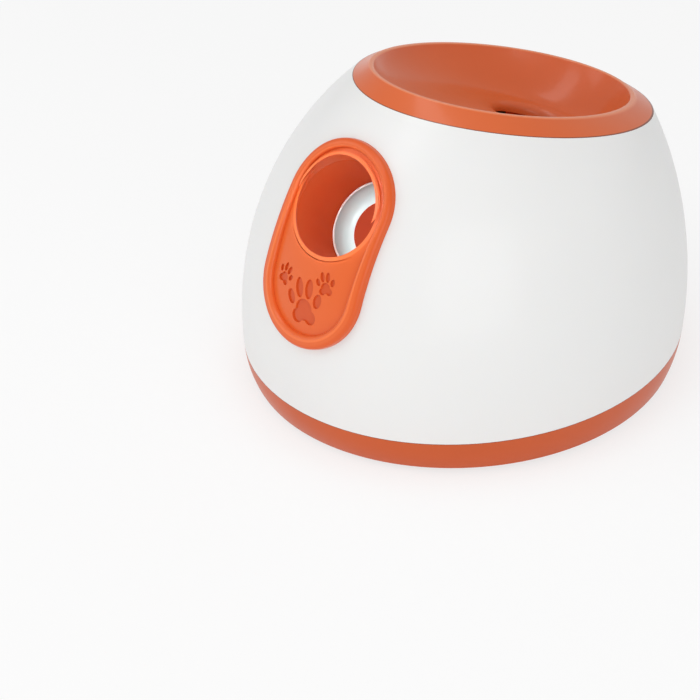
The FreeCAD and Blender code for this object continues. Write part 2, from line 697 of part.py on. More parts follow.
def ball_chute():
    """Trough from the funnel's throat to the barrel, with ears for the gate and a bracket for the sensor."""
    outer = trough(CHUTE_R + CHUTE_T, CHUTE_SIDE_H, CHUTE_FRONT_Y, CHUTE_BACK_Y + CHUTE_T)
    inner = trough(CHUTE_R, CHUTE_SIDE_H + 40, CHUTE_FRONT_Y - 1, CHUTE_BACK_Y)
    ears = []
    for side in (-1, 1):
        x0, x1 = sorted((side * CHUTE_R, side * (CHUTE_R + CHUTE_T)))
        ears.append(box(x0, x1, GATE_Y - 7, GATE_Y + 7, chute_axis(GATE_Y), GATE_Z + 4.5))
        x0, x1 = sorted((side * 3.6, side * 5.6))
        ears.append(box(x0, x1, 26, 54, SWITCH_Z - 1, chute_axis(40) - CHUTE_R))
        x0, x1 = sorted((side * 16.0, side * 18.5))
        ears.append(box(x0, x1, 66, 74, BAY_TOP_Z + BAY_WALL, chute_axis(70) - 18))
    shelf = box(CHUTE_R + 0.5, SERVO_X + 20, GATE_Y - 17, GATE_Y + 7, GATE_Z - SERVO_HALF_W - 2.2, GATE_Z - SERVO_HALF_W - 0.0)
    body = joined([outer, *ears, shelf])
    body = body.cut(inner)
    body = body.cut(in_barrel(rod(BARREL_R + 0.2, 0, BARREL_END + 20)))
    body = body.cut(bowl_form(WALL + 0.5, WALL + 0.5)).cut(throat_rod(THROAT_R + WALL + 0.5, -WALL - 0.5, 9))
    body = body.cut(on_axle(rod(GATE_R + RUN_FIT, -40, 40), 0, GATE_Y, GATE_Z))
    body = body.cut(on_axle(rod(LEVER_PIN_R + SEAT_FIT, -8, 8), 0, LEVER_Y, LEVER_Z))
    slot = box(-3.2, 3.2, 27.0, LEVER_Y + 4.0, SWITCH_Z, chute_axis(40))
    return body.cut(slot)


def launch_barrel():
    """Barrel from the bezel's collar to the spring's seat, with a ball entry, a tenon slot and rack rails."""
    tube = rod(BARREL_R, BARREL_START, BARREL_END)
    rails = []
    for side in (-1, 1):
        x0, x1 = sorted((side * (RACK_HALF_W + 0.3), side * (RACK_HALF_W + 2.3)))
        rails.append(box(x0, x1, 29.8, RACK_BACK + RACK_BAR_T + 2.0, RAIL_START, BARREL_END))
        x0, x1 = sorted((side * 4.6, side * (RACK_HALF_W + 0.3)))
        lip = RACK_BACK + RACK_BAR_T + 0.4
        rails.append(box(x0, x1, lip, RACK_BACK + RACK_BAR_T + 2.0, RAIL_START, BARREL_END))
    body = joined([tube, *rails])
    body = body.cut(rod(BORE_R, BARREL_START - 1, BARREL_END + 1))
    slot = box(-TENON_HALF_W - 1, TENON_HALF_W + 1, 20, RACK_BACK - 0.1, TENON_FRONT - 2, TENON_BACK + STROKE + 2)
    body = in_barrel(body.cut(slot))
    entry = trough(CHUTE_R, 60, CHUTE_FRONT_Y, CHUTE_BACK_Y)
    return body.cut(entry)


def barrel_end_cap():
    """Cap that closes the barrel and seats the spring."""
    boss_r = SPRING_R - WIRE_R - 0.6
    cap = joined([
        rod(BARREL_R, BARREL_END, BARREL_END + END_CAP_T),
        rod(BORE_R - SEAT_FIT, SPRING_SEAT, BARREL_END),
        rod(boss_r, SPRING_SEAT - 10, SPRING_SEAT),
    ])
    return in_barrel(cap.cut(rod(boss_r - 2.5, SPRING_SEAT - 12, BARREL_END + 1)))


# ---------------------------------------------------------------- striker
RACK_HALF_W = 6.0
TENON_HALF_W = 4.0
TENON_FRONT = STRIKER_FACE + 10.0
TENON_BACK = STRIKER_FACE + 26.0
TENON_TOP = 20.0
RAIL_START = 18.0


def dish_form():
    """The striker's front: a dish revolved about the barrel's axis, thin at its rim and flatter at its hub."""
    face, half_rim = STRIKER_FACE, DISH_RIM_W / 2
    rim_in = STRIKER_R - DISH_RIM_W
    low = face + DISH_DEPTH - 1.0
    profile = [
        Part.Arc(Vector(STRIKER_R, 0, face + half_rim), Vector(STRIKER_R - half_rim, 0, face), Vector(rim_in, 0, face + half_rim)),
        Part.Arc(Vector(rim_in, 0, face + half_rim), Vector(rim_in - 2.6, 0, low - 2.4), Vector(DISH_R, 0, low)),
        Part.LineSegment(Vector(DISH_R, 0, low), Vector(DISH_R, 0, low + WEB_T)),
        Part.LineSegment(Vector(DISH_R, 0, low + WEB_T), Vector(STRIKER_R, 0, low + WEB_T)),
        Part.LineSegment(Vector(STRIKER_R, 0, low + WEB_T), Vector(STRIKER_R, 0, face + half_rim)),
    ]
    outline = Part.Face(Part.Wire([edge.toShape() for edge in profile]))
    return outline.revolve(Vector(), Z_AXIS, 360)


def striker_head():
    """White dished head: thin rounded rim, dish, skirt, spring boss and a socket for the rack's tenon."""
    face = STRIKER_FACE
    bowl = dish_form()
    skirt = ring(STRIKER_R, STRIKER_R - SKIRT_T, face + DISH_DEPTH, face + SKIRT_L)
    cup = ring(DISH_R + WEB_T, DISH_R, face + DISH_DEPTH - 1, face + DISH_DEPTH + WEB_T)
    web = rod(DISH_R + WEB_T, face + DISH_DEPTH, face + DISH_DEPTH + WEB_T)
    boss = rod(SPRING_R - WIRE_R - 1.5, face + DISH_DEPTH, face + DISH_DEPTH + WEB_T + 9)
    socket = box(-7.5, 7.5, TENON_TOP - 2, STRIKER_R - 1, face + 4, TENON_BACK + 1.5)
    socket = socket.common(rod(STRIKER_R, face, face + SKIRT_L + 2)).cut(rod(DISH_R, face, face + DISH_DEPTH))
    spring_room = ring(SPRING_R + WIRE_R + 0.8, SPRING_R - WIRE_R - 1.5, face + DISH_DEPTH + WEB_T, face + 40)
    head = joined([bowl, skirt, cup, web, boss, socket]).cut(spring_room)
    head = head.cut(rod(SPRING_R - WIRE_R - 4, face + DISH_DEPTH + WEB_T, face + 40))
    slot = box(-TENON_HALF_W - SEAT_FIT, TENON_HALF_W + SEAT_FIT, TENON_TOP - 0.1, 40, TENON_FRONT - SEAT_FIT, TENON_BACK + SEAT_FIT)
    head = head.cut(slot)
    return in_barrel(head.cut(carriage_pin_rod(PIN_R + SEAT_FIT, 12)))


PIN_R = 1.5


def carriage_pin_rod(radius, half_length):
    """The cross pin through the striker's socket and the rack's tenon, in the barrel's frame."""
    pin = placed(rod(radius, -half_length, half_length), Placement(Vector(), Rotation(Vector(0, 1, 0), 90)))
    return upright(pin, 0, (TENON_TOP + STRIKER_R) / 2, (TENON_FRONT + TENON_BACK) / 2)


def striker_pin():
    return in_barrel(carriage_pin_rod(PIN_R, 7.4))


def striker_cap():
    """Orange cap pressed into the striker's dish."""
    top = STRIKER_FACE + DISH_DEPTH
    cap = rod(DISH_R - SEAT_FIT, top - 2.4, top)
    cap = cap.makeFillet(0.8, [e for e in cap.Edges if abs(e.BoundBox.ZMax - (top - 2.4)) < 0.01])
    return in_barrel(cap.cut(rod(3.2, top - 3, top - 1.2)))


def rack():
    """Rack under the barrel: winged bar, straight-sided teeth and the tenon that pulls the striker."""
    bar = box(-RACK_HALF_W, RACK_HALF_W, RACK_BACK, RACK_BACK + RACK_BAR_T, RACK_FRONT, RACK_BACK_D)
    tenon = box(-TENON_HALF_W, TENON_HALF_W, TENON_TOP, RACK_BACK, TENON_FRONT, TENON_BACK)
    half_w = FACE_W / 2
    root = RACK_LINE - 1.25 * RACK_MODULE
    tip = RACK_LINE + RACK_MODULE
    lean = math.tan(math.radians(PRESSURE_ANGLE))
    half_tooth = RACK_PITCH / 4 - THINNING / 2
    outline = [Vector(-half_w, RACK_BACK, RACK_FRONT), Vector(-half_w, root, RACK_FRONT)]
    for index in range(RACK_TEETH):
        middle = RACK_FRONT + index * RACK_PITCH
        if index:
            at_root = half_tooth + lean * (RACK_LINE - root)
            at_tip = half_tooth - lean * (tip - RACK_LINE)
            outline += [
                Vector(-half_w, root, middle - at_root), Vector(-half_w, tip, middle - at_tip),
                Vector(-half_w, tip, middle + at_tip), Vector(-half_w, root, middle + at_root),
            ]
    outline += [Vector(-half_w, root, RACK_BACK_D), Vector(-half_w, RACK_BACK, RACK_BACK_D)]
    teeth = Part.Face(Part.makePolygon(outline + outline[:1])).extrude(Vector(FACE_W, 0, 0))
    body = joined([bar, tenon, teeth])
    return in_barrel(body.cut(carriage_pin_rod(PIN_R + SEAT_FIT, 12)))


def launch_spring():
    """Compression spring between the striker and the end cap, with its ends closed on their seats."""
    start = STRIKER_FACE + DISH_DEPTH + WEB_T + WIRE_R + 0.05
    end = SPRING_SEAT - WIRE_R - 0.05
    pitch = (end - start) / SPRING_TURNS
    helix = Part.makeHelix(pitch, end - start, SPRING_R)
    profile = Part.Wire(Part.makeCircle(WIRE_R, Vector(SPRING_R, 0, 0), Vector(0, 1, 0)))
    coil = Part.Wire(helix.Edges).makePipeShell([profile], True, True)
    return in_barrel(upright(coil, 0, 0, start))


# ---------------------------------------------------------------- gear train
COCKING_START = RACK_BEARING
DRIVEN_START = 0.0
SECOND_PINION_START = meshing_angle(DRIVEN_START, DRIVEN_TEETH, SECOND_BEARING, PINION_TEETH)
FIRST_PINION_START = meshing_angle(0.0, SECOND_TEETH, FIRST_BEARING, PINION_TEETH)
MOTOR_PINION_START = meshing_angle(0.0, FIRST_TEETH, MOTOR_BEARING, PINION_TEETH)


def cocking_gear():
    """Sector gear that draws the rack back and then lets it go at its toothless stretch."""
    body = gear(RACK_MODULE, COCKING_TEETH, FACE_W, COCKING_START, RACK_TEETH)
    body = upright(body, 0, 0, -FACE_W / 2).fuse(rod(8.0, -CHASSIS_X + 0.4, CHASSIS_X - 0.4))
    return on_axle(body.removeSplitter().cut(d_shaft(SEAT_FIT, -20, 20)), 0, COCKING_Y, COCKING_Z)


def d_shaft(grow, start, end):
    """Shaft with a flat, which carries its gears round."""
    radius = SHAFT_R + grow
    return rod(radius, start, end).cut(box(SHAFT_R * 0.7 + grow, 10, -10, 10, start - 1, end + 1))


def cocking_shaft():
    """Steel shaft that is round in its bushes and flatted where it carries the gears."""
    start, end = -CHASSIS_X - CHASSIS_T - 1.5, COVER_X + PLATE_T - 0.6
    shaft = joined([
        rod(SHAFT_R, start, -CHASSIS_X + 0.4),
        d_shaft(0.0, -CHASSIS_X + 0.2, CHASSIS_X - 0.2),
        rod(SHAFT_R, CHASSIS_X - 0.4, DRIVEN_X - 0.2),
        d_shaft(0.0, DRIVEN_X - 0.4, DRIVEN_X + DRIVEN_W + 0.4),
        rod(SHAFT_R, DRIVEN_X + DRIVEN_W + 0.2, end),
    ])
    return on_axle(shaft, 0, COCKING_Y, COCKING_Z)


def driven_gear():
    """Large wheel on the cocking shaft."""
    body = wheel(MODULE, DRIVEN_TEETH, DRIVEN_W, DRIVEN_START, SHAFT_R)
    body = body.fuse(rod(SHAFT_R + 3, 0, DRIVEN_W)).cut(d_shaft(SEAT_FIT, -1, DRIVEN_W + 1))
    return on_axle(body, DRIVEN_X, COCKING_Y, COCKING_Z)


def compound_gear(teeth, wheel_x, wheel_w, pinion_x, pinion_w, pinion_start):
    """Wheel and pinion moulded as one, loose on an axle."""
    low = min(wheel_x, pinion_x)
    big = upright(wheel(MODULE, teeth, wheel_w, 0.0, AXLE_R + RUN_FIT), 0, 0, wheel_x - low)
    small = upright(gear(MODULE, PINION_TEETH, pinion_w, pinion_start), 0, 0, pinion_x - low)
    return joined([big, small]).cut(rod(AXLE_R + RUN_FIT, -1, 40))


def second_gear():
    pinion_x = PLATE_X + PLATE_T + 0.5
    body = compound_gear(SECOND_TEETH, SECOND_X, SECOND_W, pinion_x, SECOND_X - pinion_x + 0.2, SECOND_PINION_START)
    return on_axle(body, pinion_x, SECOND_Y, SECOND_Z)


def first_gear():
    body = compound_gear(FIRST_TEETH, FIRST_X, FIRST_W, SECOND_X - 0.2, FIRST_X - SECOND_X + 0.4, FIRST_PINION_START)
    return on_axle(body, SECOND_X - 0.2, FIRST_Y, FIRST_Z)


def motor_pinion():
    body = gear(MODULE, PINION_TEETH, FIRST_W + 1.0, MOTOR_PINION_START).cut(rod(1.5 + SEAT_FIT, -1, 9))
    return on_axle(body, FIRST_X - 0.5, MOTOR_Y, MOTOR_Z)


def motor_shaft():
    return on_axle(rod(1.5, FIRST_X - 1.0, COVER_X + PLATE_T + 4.0), 0, MOTOR_Y, MOTOR_Z)


def gear_axles():
    """Fixed steel axles of the two compound gears."""
    spots = [(SECOND_Y, SECOND_Z), (FIRST_Y, FIRST_Z)]
    return Part.makeCompound([on_axle(rod(AXLE_R, PLATE_X, COVER_X + PLATE_T), 0, y, z) for y, z in spots])


def shaft_bushes():
    """Flanged bushes of the cocking shaft, in the chassis, the gearbox plate and its cover."""
    bush = ring(BUSH_R, SHAFT_R + RUN_FIT, 0, CHASSIS_T).fuse(ring(BUSH_R + 1.6, SHAFT_R + RUN_FIT, CHASSIS_T, CHASSIS_T + 1.0))
    thin = ring(BUSH_R, SHAFT_R + RUN_FIT, 0, PLATE_T).fuse(ring(BUSH_R + 1.6, SHAFT_R + RUN_FIT, -1.0, 0))
    flipped = placed(bush, Placement(Vector(), Rotation(X_AXIS, 180)))
    spots = [(bush, CHASSIS_X), (flipped, -CHASSIS_X), (thin, PLATE_X), (thin, COVER_X)]
    return Part.makeCompound([on_axle(shape, x, COCKING_Y, COCKING_Z) for shape, x in spots])


def motor():
    """Can motor with its end boss in the gearbox cover."""
    start = COVER_X + PLATE_T
    can = rod(MOTOR_R, start + 0.05, start + 38).cut(box(-20, 20, 10.4, 20, start - 1, start + 60))
    can = can.cut(box(-20, 20, -20, -10.4, start - 1, start + 60))
    rear = ring(5.0, 1.0, start + 38, start + 40.5)
    tags = [box(side * 8 - 1.2, side * 8 + 1.2, -0.3, 0.3, start + 37, start + 43) for side in (-1, 1)]
    body = joined([can, rod(MOTOR_BOSS_R, start - PLATE_T + 0.2, start + 1), rear, *tags])
    return on_axle(body.cut(rod(1.5 + RUN_FIT, start - 5, start + 12)), 0, MOTOR_Y, MOTOR_Z)


def gearbox_outline(grow):
    """Face round the gear train in the YZ plane, grown by grow."""
    spots = [
        (COCKING_Y, COCKING_Z, MODULE * DRIVEN_TEETH / 2 + 2.5),
        (SECOND_Y, SECOND_Z, MODULE * SECOND_TEETH / 2 + 2.5),
        (FIRST_Y, FIRST_Z, MODULE * FIRST_TEETH / 2 + 2.5),
        (MOTOR_Y, MOTOR_Z, MOTOR_R + 3.0),
    ]
    spots += [(y, z, PILLAR_R + 2.4) for y, z in gearbox_screw_spots()]
    discs = [upright(rod(r + grow, 0, 1), y, z) for y, z, r in spots]
    fill = box(COCKING_Y, MOTOR_Y, COCKING_Z - 20 - grow, COCKING_Z + 17 + grow, 0, 1)
    return joined([*discs, fill])


def slab(form, x0, x1):
    """The outline solid stretched along X from x0 to x1."""
    top = max(form.Faces, key=lambda f: (round(f.CenterOfMass.z, 3), f.Area))
    return on_axle(upright(top, 0, 0, -1).extrude(Vector(0, 0, x1 - x0)), x0, 0, 0)


def gearbox_screw_spots():
    """(y, z) of the four screws through the cover into the plate, each clear of the wheel it stands beside."""
    driven_r = MODULE * (DRIVEN_TEETH / 2 + 1) + PILLAR_R + 1.0
    second_r = MODULE * (SECOND_TEETH / 2 + 1) + PILLAR_R + 1.9
    return [
        around(COCKING_Y, COCKING_Z, 130, driven_r),
        around(SECOND_Y, SECOND_Z, 93, second_r + 1.0),
        around(SECOND_Y, SECOND_Z, -80, second_r),
        around(MOTOR_Y, MOTOR_Z, -72, MOTOR_R + HEAD_R + 3.7),
    ]


def around(y, z, bearing, radius):
    """(y, z) of a point at a bearing and a distance from an axis."""
    way = math.radians(bearing)
    return y + radius * math.cos(way), z + radius * math.sin(way)


def gearbox_plate():
    """Inner plate that carries the gear axles, with a flange on the base."""
    body = slab(gearbox_outline(0.0), PLATE_X, PLATE_X + PLATE_T)
    leg = box(PLATE_X, PLATE_X + PLATE_T, GEARBOX_FOOT_Y0, GEARBOX_FOOT_Y1, CHASSIS_FLOOR, COCKING_Z)
    foot = box(PLATE_X - 11, PLATE_X + PLATE_T, GEARBOX_FOOT_Y0, GEARBOX_FOOT_Y1, CHASSIS_FLOOR, CHASSIS_FLOOR + 2.5)
    pillars = [on_axle(rod(PILLAR_R, PLATE_X, COVER_X), 0, y, z) for y, z in gearbox_screw_spots()]
    body = joined([body, leg, foot, *pillars])
    body = body.cut(on_axle(rod(BUSH_R + 0.02, 0, 80), 0, COCKING_Y, COCKING_Z))
    for y, z in ((SECOND_Y, SECOND_Z), (FIRST_Y, FIRST_Z)):
        body = body.cut(on_axle(rod(AXLE_R + 0.02, 0, 80), 0, y, z))
    for y, z in gearbox_screw_spots():
        body = body.cut(on_axle(rod(PILOT_R, PLATE_X + 4, COVER_X + 1), 0, y, z))
    for x, y in gearbox_spots():
        body = body.cut(upright(rod(CLEAR_R, 0, CHASSIS_FLOOR + 5), x, y))
    return body


def gearbox_cover():
    """Outer half of the gearbox: plate and skirt, with the motor's seat."""
    outer = slab(gearbox_outline(2.2), PLATE_X + PLATE_T + 0.2, COVER_X + PLATE_T)
    inner = slab(gearbox_outline(0.4), PLATE_X, COVER_X)
    body = outer.cut(inner)
    for y, z in gearbox_screw_spots():
        body = body.cut(on_axle(rod(CLEAR_R, 0, 80), 0, y, z))
    body = body.cut(on_axle(rod(BUSH_R + 0.02, 0, 80), 0, COCKING_Y, COCKING_Z))
    for y, z in ((SECOND_Y, SECOND_Z), (FIRST_Y, FIRST_Z)):
        body = body.cut(on_axle(rod(AXLE_R + 0.02, 0, 80), 0, y, z))
    body = body.cut(on_axle(rod(MOTOR_BOSS_R + SEAT_FIT, 0, 80), 0, MOTOR_Y, MOTOR_Z))
    return body.removeSplitter()


# ---------------------------------------------------------------- chassis
CHASSIS_FLOOR = FOOT_H + FLOOR_T + 2.0
GEARBOX_FOOT_Y0 = COCKING_Y - 8
GEARBOX_FOOT_Y1 = MOTOR_Y - 4


def chassis_spots():
    return [(side * 17.0, COCKING_Y + along) for along in (-18.0, 47.0) for side in (-1, 1)]


def gearbox_spots():
    return [(PLATE_X - 7, GEARBOX_FOOT_Y0 + 8), (PLATE_X - 7, GEARBOX_FOOT_Y1 - 8)]


def chassis():
    """Frame under the barrel: two walls with the shaft's bores, a floor and screw flanges."""
    sides = []
    top_y, top_z = barrel_point(26, 24)
    end_y, end_z = barrel_point(BARREL_END - 8, 24)
    corners = [
        Vector(0, top_y, CHASSIS_FLOOR), Vector(0, end_y, CHASSIS_FLOOR), Vector(0, end_y, end_z), Vector(0, top_y, top_z),
    ]
    for start in (-CHASSIS_X - CHASSIS_T, CHASSIS_X):
        wall = Part.Face(Part.makePolygon(corners + corners[:1]))
        wall.translate(Vector(start, 0, 0))
        sides.append(wall.extrude(Vector(CHASSIS_T, 0, 0)))
    rear_y = max(y for x, y in chassis_spots()) + 15
    floor = box(-CHASSIS_X - CHASSIS_T, CHASSIS_X + CHASSIS_T, top_y, rear_y, CHASSIS_FLOOR, CHASSIS_FLOOR + 2.0)
    flanges = [box(x - 5, x + 5, y - 6, y + 6, CHASSIS_FLOOR, CHASSIS_FLOOR + 2.5) for x, y in chassis_spots()]
    body = joined([*sides, floor, *flanges])
    body = body.cut(in_barrel(rod(BARREL_R + 0.1, 0, BARREL_END + 20)))
    body = body.cut(on_axle(rod(BUSH_R + 0.02, -40, 40), 0, COCKING_Y, COCKING_Z))
    for along, up, radius in ((-26, -15, 8), (-26, 14, 8), (35, -17, 9), (24, 17, 6)):
        body = body.cut(on_axle(rod(radius, -40, 40), 0, COCKING_Y + along, COCKING_Z + up))
    for x, y in chassis_spots():
        body = body.cut(upright(rod(CLEAR_R, 0, CHASSIS_FLOOR + 5), x, y))
    return body


# ---------------------------------------------------------------- gate and ball sensor
SERVO_X = 34.0
SERVO_HALF_W = 6.0
GATE_ARM = 37.0


def ball_gate():
    """Hinged gate that holds the next ball back until the striker is drawn."""
    shaft = rod(GATE_R, -CHUTE_R - CHUTE_T - 0.6, SERVO_X - 0.3)
    hub = rod(3.6, -13, 13)
    arm = box(-GATE_ARM, 0, -1.5, 1.5, -12, 12)
    hole = placed(rod(5.0, -5, 5), Placement(Vector(-GATE_ARM * 0.45, 0, 0), Rotation(X_AXIS, 90)))
    toe = upright(rod(2.0, -12, 12), -GATE_ARM, 0)
    body = joined([shaft, hub, arm, toe]).cut(hole)
    down = Placement(Vector(0, GATE_Y, GATE_Z), AXLE_WAY.multiply(Rotation(Z_AXIS, 90)))
    return placed(body, down)


def gate_servo():
    """Small servo on the chute's side that turns the gate's shaft."""
    case = box(SERVO_X, SERVO_X + 16, GATE_Y - 16.5, GATE_Y + 6, GATE_Z - SERVO_HALF_W, GATE_Z + SERVO_HALF_W)
    case = case.makeFillet(1.0, [e for e in case.Edges if e.BoundBox.XLength > 10])
    drive = on_axle(ring(4.0, GATE_R + SEAT_FIT, SERVO_X - 3.5, SERVO_X), 0, GATE_Y, GATE_Z)
    return case.cut(on_axle(rod(GATE_R + SEAT_FIT, 0, SERVO_X + 3), 0, GATE_Y, GATE_Z)).fuse(drive).removeSplitter()


SWITCH_Z = LEVER_Z - 17.0


def ball_lever():
    """Sprung lever under the waiting ball, its nose just above the chute's floor."""
    nose_y = 34.0
    hub = on_axle(ring(3.0, LEVER_PIN_R + RUN_FIT, -2.6, 2.6), 0, LEVER_Y, LEVER_Z)
    arm = box(-2.6, 2.6, nose_y - 1, LEVER_Y - 2.0, LEVER_Z - 1.6, LEVER_Z + 1.2)
    nose = on_axle(rod(2.4, -2.6, 2.6), 0, nose_y, chute_axis(nose_y) - CHUTE_R - 0.2)
    stem = box(-2.6, 2.6, nose_y - 2.0, nose_y + 2.0, LEVER_Z - 1.6, chute_axis(nose_y) - CHUTE_R)
    body = joined([hub, arm, nose, stem])
    return body.cut(on_axle(rod(LEVER_PIN_R + RUN_FIT, -5, 5), 0, LEVER_Y, LEVER_Z))


def lever_pin():
    return on_axle(rod(LEVER_PIN_R, -5.6, 5.6), 0, LEVER_Y, LEVER_Z)


def ball_switch():
    """Microswitch under the lever."""
    body = box(-3.2, 3.2, 28.0, 48.0, SWITCH_Z, SWITCH_Z + 10)
    plunger = box(-1.0, 1.0, 34, 36.5, SWITCH_Z + 9, SWITCH_Z + 11.4)
    tags = [box(-0.4, 0.4, y - 1.5, y + 1.5, SWITCH_Z - 4, SWITCH_Z + 1) for y in (31, 38, 45)]
    return joined([body, plunger, *tags])


# ---------------------------------------------------------------- battery bay
HINGE_R = 1.5
KNUCKLE_R = 2.9
HINGE_Y = BAY_FRONT_Y + DOOR_GAP + KNUCKLE_R
HINGE_Z = FOOT_H + KNUCKLE_R
HINGE_X = 46.0


def battery_cells():
    """Six round cells in two columns of three."""
    cells = []
    for row in range(3):
        y = BAY_FRONT_Y + CELL_FIT / 2 + CELL_R * (1 + 2 * row)
        for x in (-CELL_L - 0.6, 0.8):
            can = rod(CELL_R - 0.25, 0, CELL_L - 1.6)
            nub = rod(3.0, CELL_L - 1.7, CELL_L)
            cells.append(on_axle(can.fuse(nub).removeSplitter(), x, y, BAY_TOP_Z - CELL_R - 0.1))
    return Part.makeCompound(cells)


def battery_contacts():
    """Sprung plates at the ends of the cells."""
    plates = []
    for row in range(3):
        y = BAY_FRONT_Y + CELL_FIT / 2 + CELL_R * (1 + 2 * row)
        z = BAY_TOP_Z - CELL_R - 0.1
        plates.append(box(-BAY_HALF_X, -BAY_HALF_X + 0.5, y - 6, y + 6, z - 6, z + 6))
        plates.append(box(BAY_HALF_X - 0.5, BAY_HALF_X, y - 6, y + 6, z - 6, z + 6))
    return Part.makeCompound(plates)


def battery_door():
    """Door in the base, hinged at its front edge, with a spring latch at its rear."""
    x = BAY_HALF_X - DOOR_GAP
    notch_y = HINGE_Y + KNUCKLE_R + 0.6
    knuckle_x = HINGE_X - 0.5
    panel = box(-x, x, notch_y, BAY_BACK_Y - DOOR_GAP, FOOT_H, FOOT_H + DOOR_T)
    hubs = [
        box(-knuckle_x, knuckle_x, HINGE_Y, notch_y + 1, FOOT_H, FOOT_H + DOOR_T),
        on_axle(rod(KNUCKLE_R, -knuckle_x, knuckle_x), 0, HINGE_Y, HINGE_Z),
        on_axle(rod(HINGE_R, 2 - BAY_HALF_X, BAY_HALF_X - 2), 0, HINGE_Y, HINGE_Z),
    ]
    latch = box(-6, 6, BAY_BACK_Y - 3.4, BAY_BACK_Y - 1.6, FOOT_H, FOOT_H + DOOR_T + 4.6)
    hook = box(-6, 6, BAY_BACK_Y - 2.4, BAY_BACK_Y - 0.6, FOOT_H + DOOR_T + 0.6, FOOT_H + DOOR_T + 2.1)
    ribs = [box(-40, 40, y, y + 1.2, FOOT_H + 1, FOOT_H + DOOR_T + 0.8) for y in (BAY_FRONT_Y + 23, BAY_BACK_Y - 30)]
    relief = box(-8, 8, BAY_BACK_Y - 8, BAY_BACK_Y - 6.8, FOOT_H - 1, FOOT_H + DOOR_T + 1)
    door = joined([panel, *hubs, latch, hook, *ribs]).cut(relief)
    return door.common(box(-SPAN, SPAN, -SPAN, SPAN, FOOT_H, FOOT_H + 40))


# ---------------------------------------------------------------- boards
MAIN_X = 59.5 - HALF_WIDTH
MAIN_Y = -13.0
MAIN_HALF_X = 26.0
MAIN_HALF_Y = 39.0
BOARD_Z = 14.0
BOARD_T = 1.6


def board_spots():
    return [(MAIN_X + x * (MAIN_HALF_X - 4), MAIN_Y + y * (MAIN_HALF_Y - 4)) for y in (-1, 1) for x in (-1, 1)]


def main_board():
    """Main circuit board with its larger components."""
    top = BOARD_T
    body = joined([
        box(-MAIN_HALF_X, MAIN_HALF_X, -MAIN_HALF_Y, MAIN_HALF_Y, 0, BOARD_T),
        upright(rod(5.0, top - 0.1, top + 12), 13, -19),
        upright(rod(4.0, top - 0.1, top + 9), 1, -21),
        box(-19, -5, -7, 9, top - 0.1, top + 11),
        box(5, 17, 1, 13, top - 0.1, top + 2.4),
        box(-19, -11, 17, 29, top - 0.1, top + 7),
        box(3, 19, 21, 27, top - 0.1, top + 7),
    ])
    body = upright(body, MAIN_X, MAIN_Y, BOARD_Z)
    for x, y in board_spots():
        body = body.cut(upright(rod(CLEAR_R, 0, 40), x, y))
    return body


def control_board():
    """Small board behind the rear panel, with a switch under each button and a lamp behind each lens."""
    body = [box(-40, 40, BOARD_Y, BOARD_Y + BOARD_T, PANEL_Z - 15, PANEL_Z + 15)]
    front = BOARD_Y + BOARD_T
    for x in (POWER_X, DISTANCE_X):
        body.append(box(x - 3, x + 3, front - 0.1, front + 3.6, PANEL_Z - 3, PANEL_Z + 3))
        body.append(along_y(rod(1.7, 0, 1.6), x, front + 3.4, PANEL_Z))
    for x in lens_spots():
        body.append(box(x - 1, x + 1, front - 0.1, front + 1.2, LENS_Z - 1, LENS_Z + 1))
    board = joined(body)
    for x in panel_posts():
        board = board.cut(along_y(rod(CLEAR_R, -20, 20), x, BOARD_Y, PANEL_Z - 10))
    return board


# ---------------------------------------------------------------- rear controls
LENS_Z = PANEL_Z + 10.0
LENS_R = 1.6


def lens_spots():
    return [16.0, 23.0, 30.0]


def panel_posts():
    return [-36.0, 11.0, 36.0]


def control_panel():
    """Panel set in the rear of the case, with holes for the buttons, lamps and power inlet."""
    face = stadium(PANEL_HALF_X, PANEL_HALF_Z, 100, 180).common(case_form(-PANEL_STAND))
    flange = stadium(PANEL_HALF_X + 4, PANEL_HALF_Z + 4, 100, 180).common(case_form(WALL + 0.2))
    plate = face.fuse(flange).cut(case_form(PANEL_BACK))
    posts = []
    for x in panel_posts():
        post = along_y(rod(3.0, 0, 20), x, BOARD_Y + BOARD_T, PANEL_Z - 10)
        posts.append(post.common(case_form(WALL + 1.0)))
    body = joined([plate, *posts])
    for x in panel_posts():
        body = body.cut(along_y(rod(PILOT_R, -1, 10), x, BOARD_Y + BOARD_T, PANEL_Z - 10))
    for x in (POWER_X, DISTANCE_X):
        body = body.cut(along_y(rod(BUTTON_R + LOOSE_FIT, 0, 60), x, BOARD_Y + 2, PANEL_Z))
    for x in lens_spots():
        body = body.cut(along_y(rod(LENS_R + SEAT_FIT, 0, 60), x, BOARD_Y + 2, LENS_Z))
    return body.cut(along_y(rod(JACK_R + 0.1, 0, 60), JACK_X, BOARD_Y + 2, JACK_Z))


JACK_R = 4.2
JACK_Z = PANEL_Z - 3.0


def rear_face(x, z, proud=0.0):
    """Y of the case's rear surface at x and height z."""
    half_x, half_y = half_axes(z, -proud)
    return middle_y(z) + half_y * math.sqrt(1 - (x / half_x) ** 2)


def button(x):
    """Round button with a domed head, a flange behind the panel and a stem to its switch."""
    face = rear_face(x, PANEL_Z, PANEL_STAND) + 2.4
    back = BOARD_Y + BOARD_T + 5.0 + 0.2 + BUTTON_TRAVEL
    flange_r = BUTTON_R + 1.6
    flange_y = rear_face(abs(x) + flange_r, PANEL_Z + flange_r) - PANEL_BACK - 0.4
    cap = rod(BUTTON_R, flange_y, face)
    cap = cap.makeFillet(1.6, [e for e in cap.Edges if abs(e.BoundBox.ZMin - face) < 0.01])
    body = joined([cap, rod(flange_r, flange_y - 1.2, flange_y), rod(2.4, back, flange_y)])
    return along_y(body, x, 0, PANEL_Z)


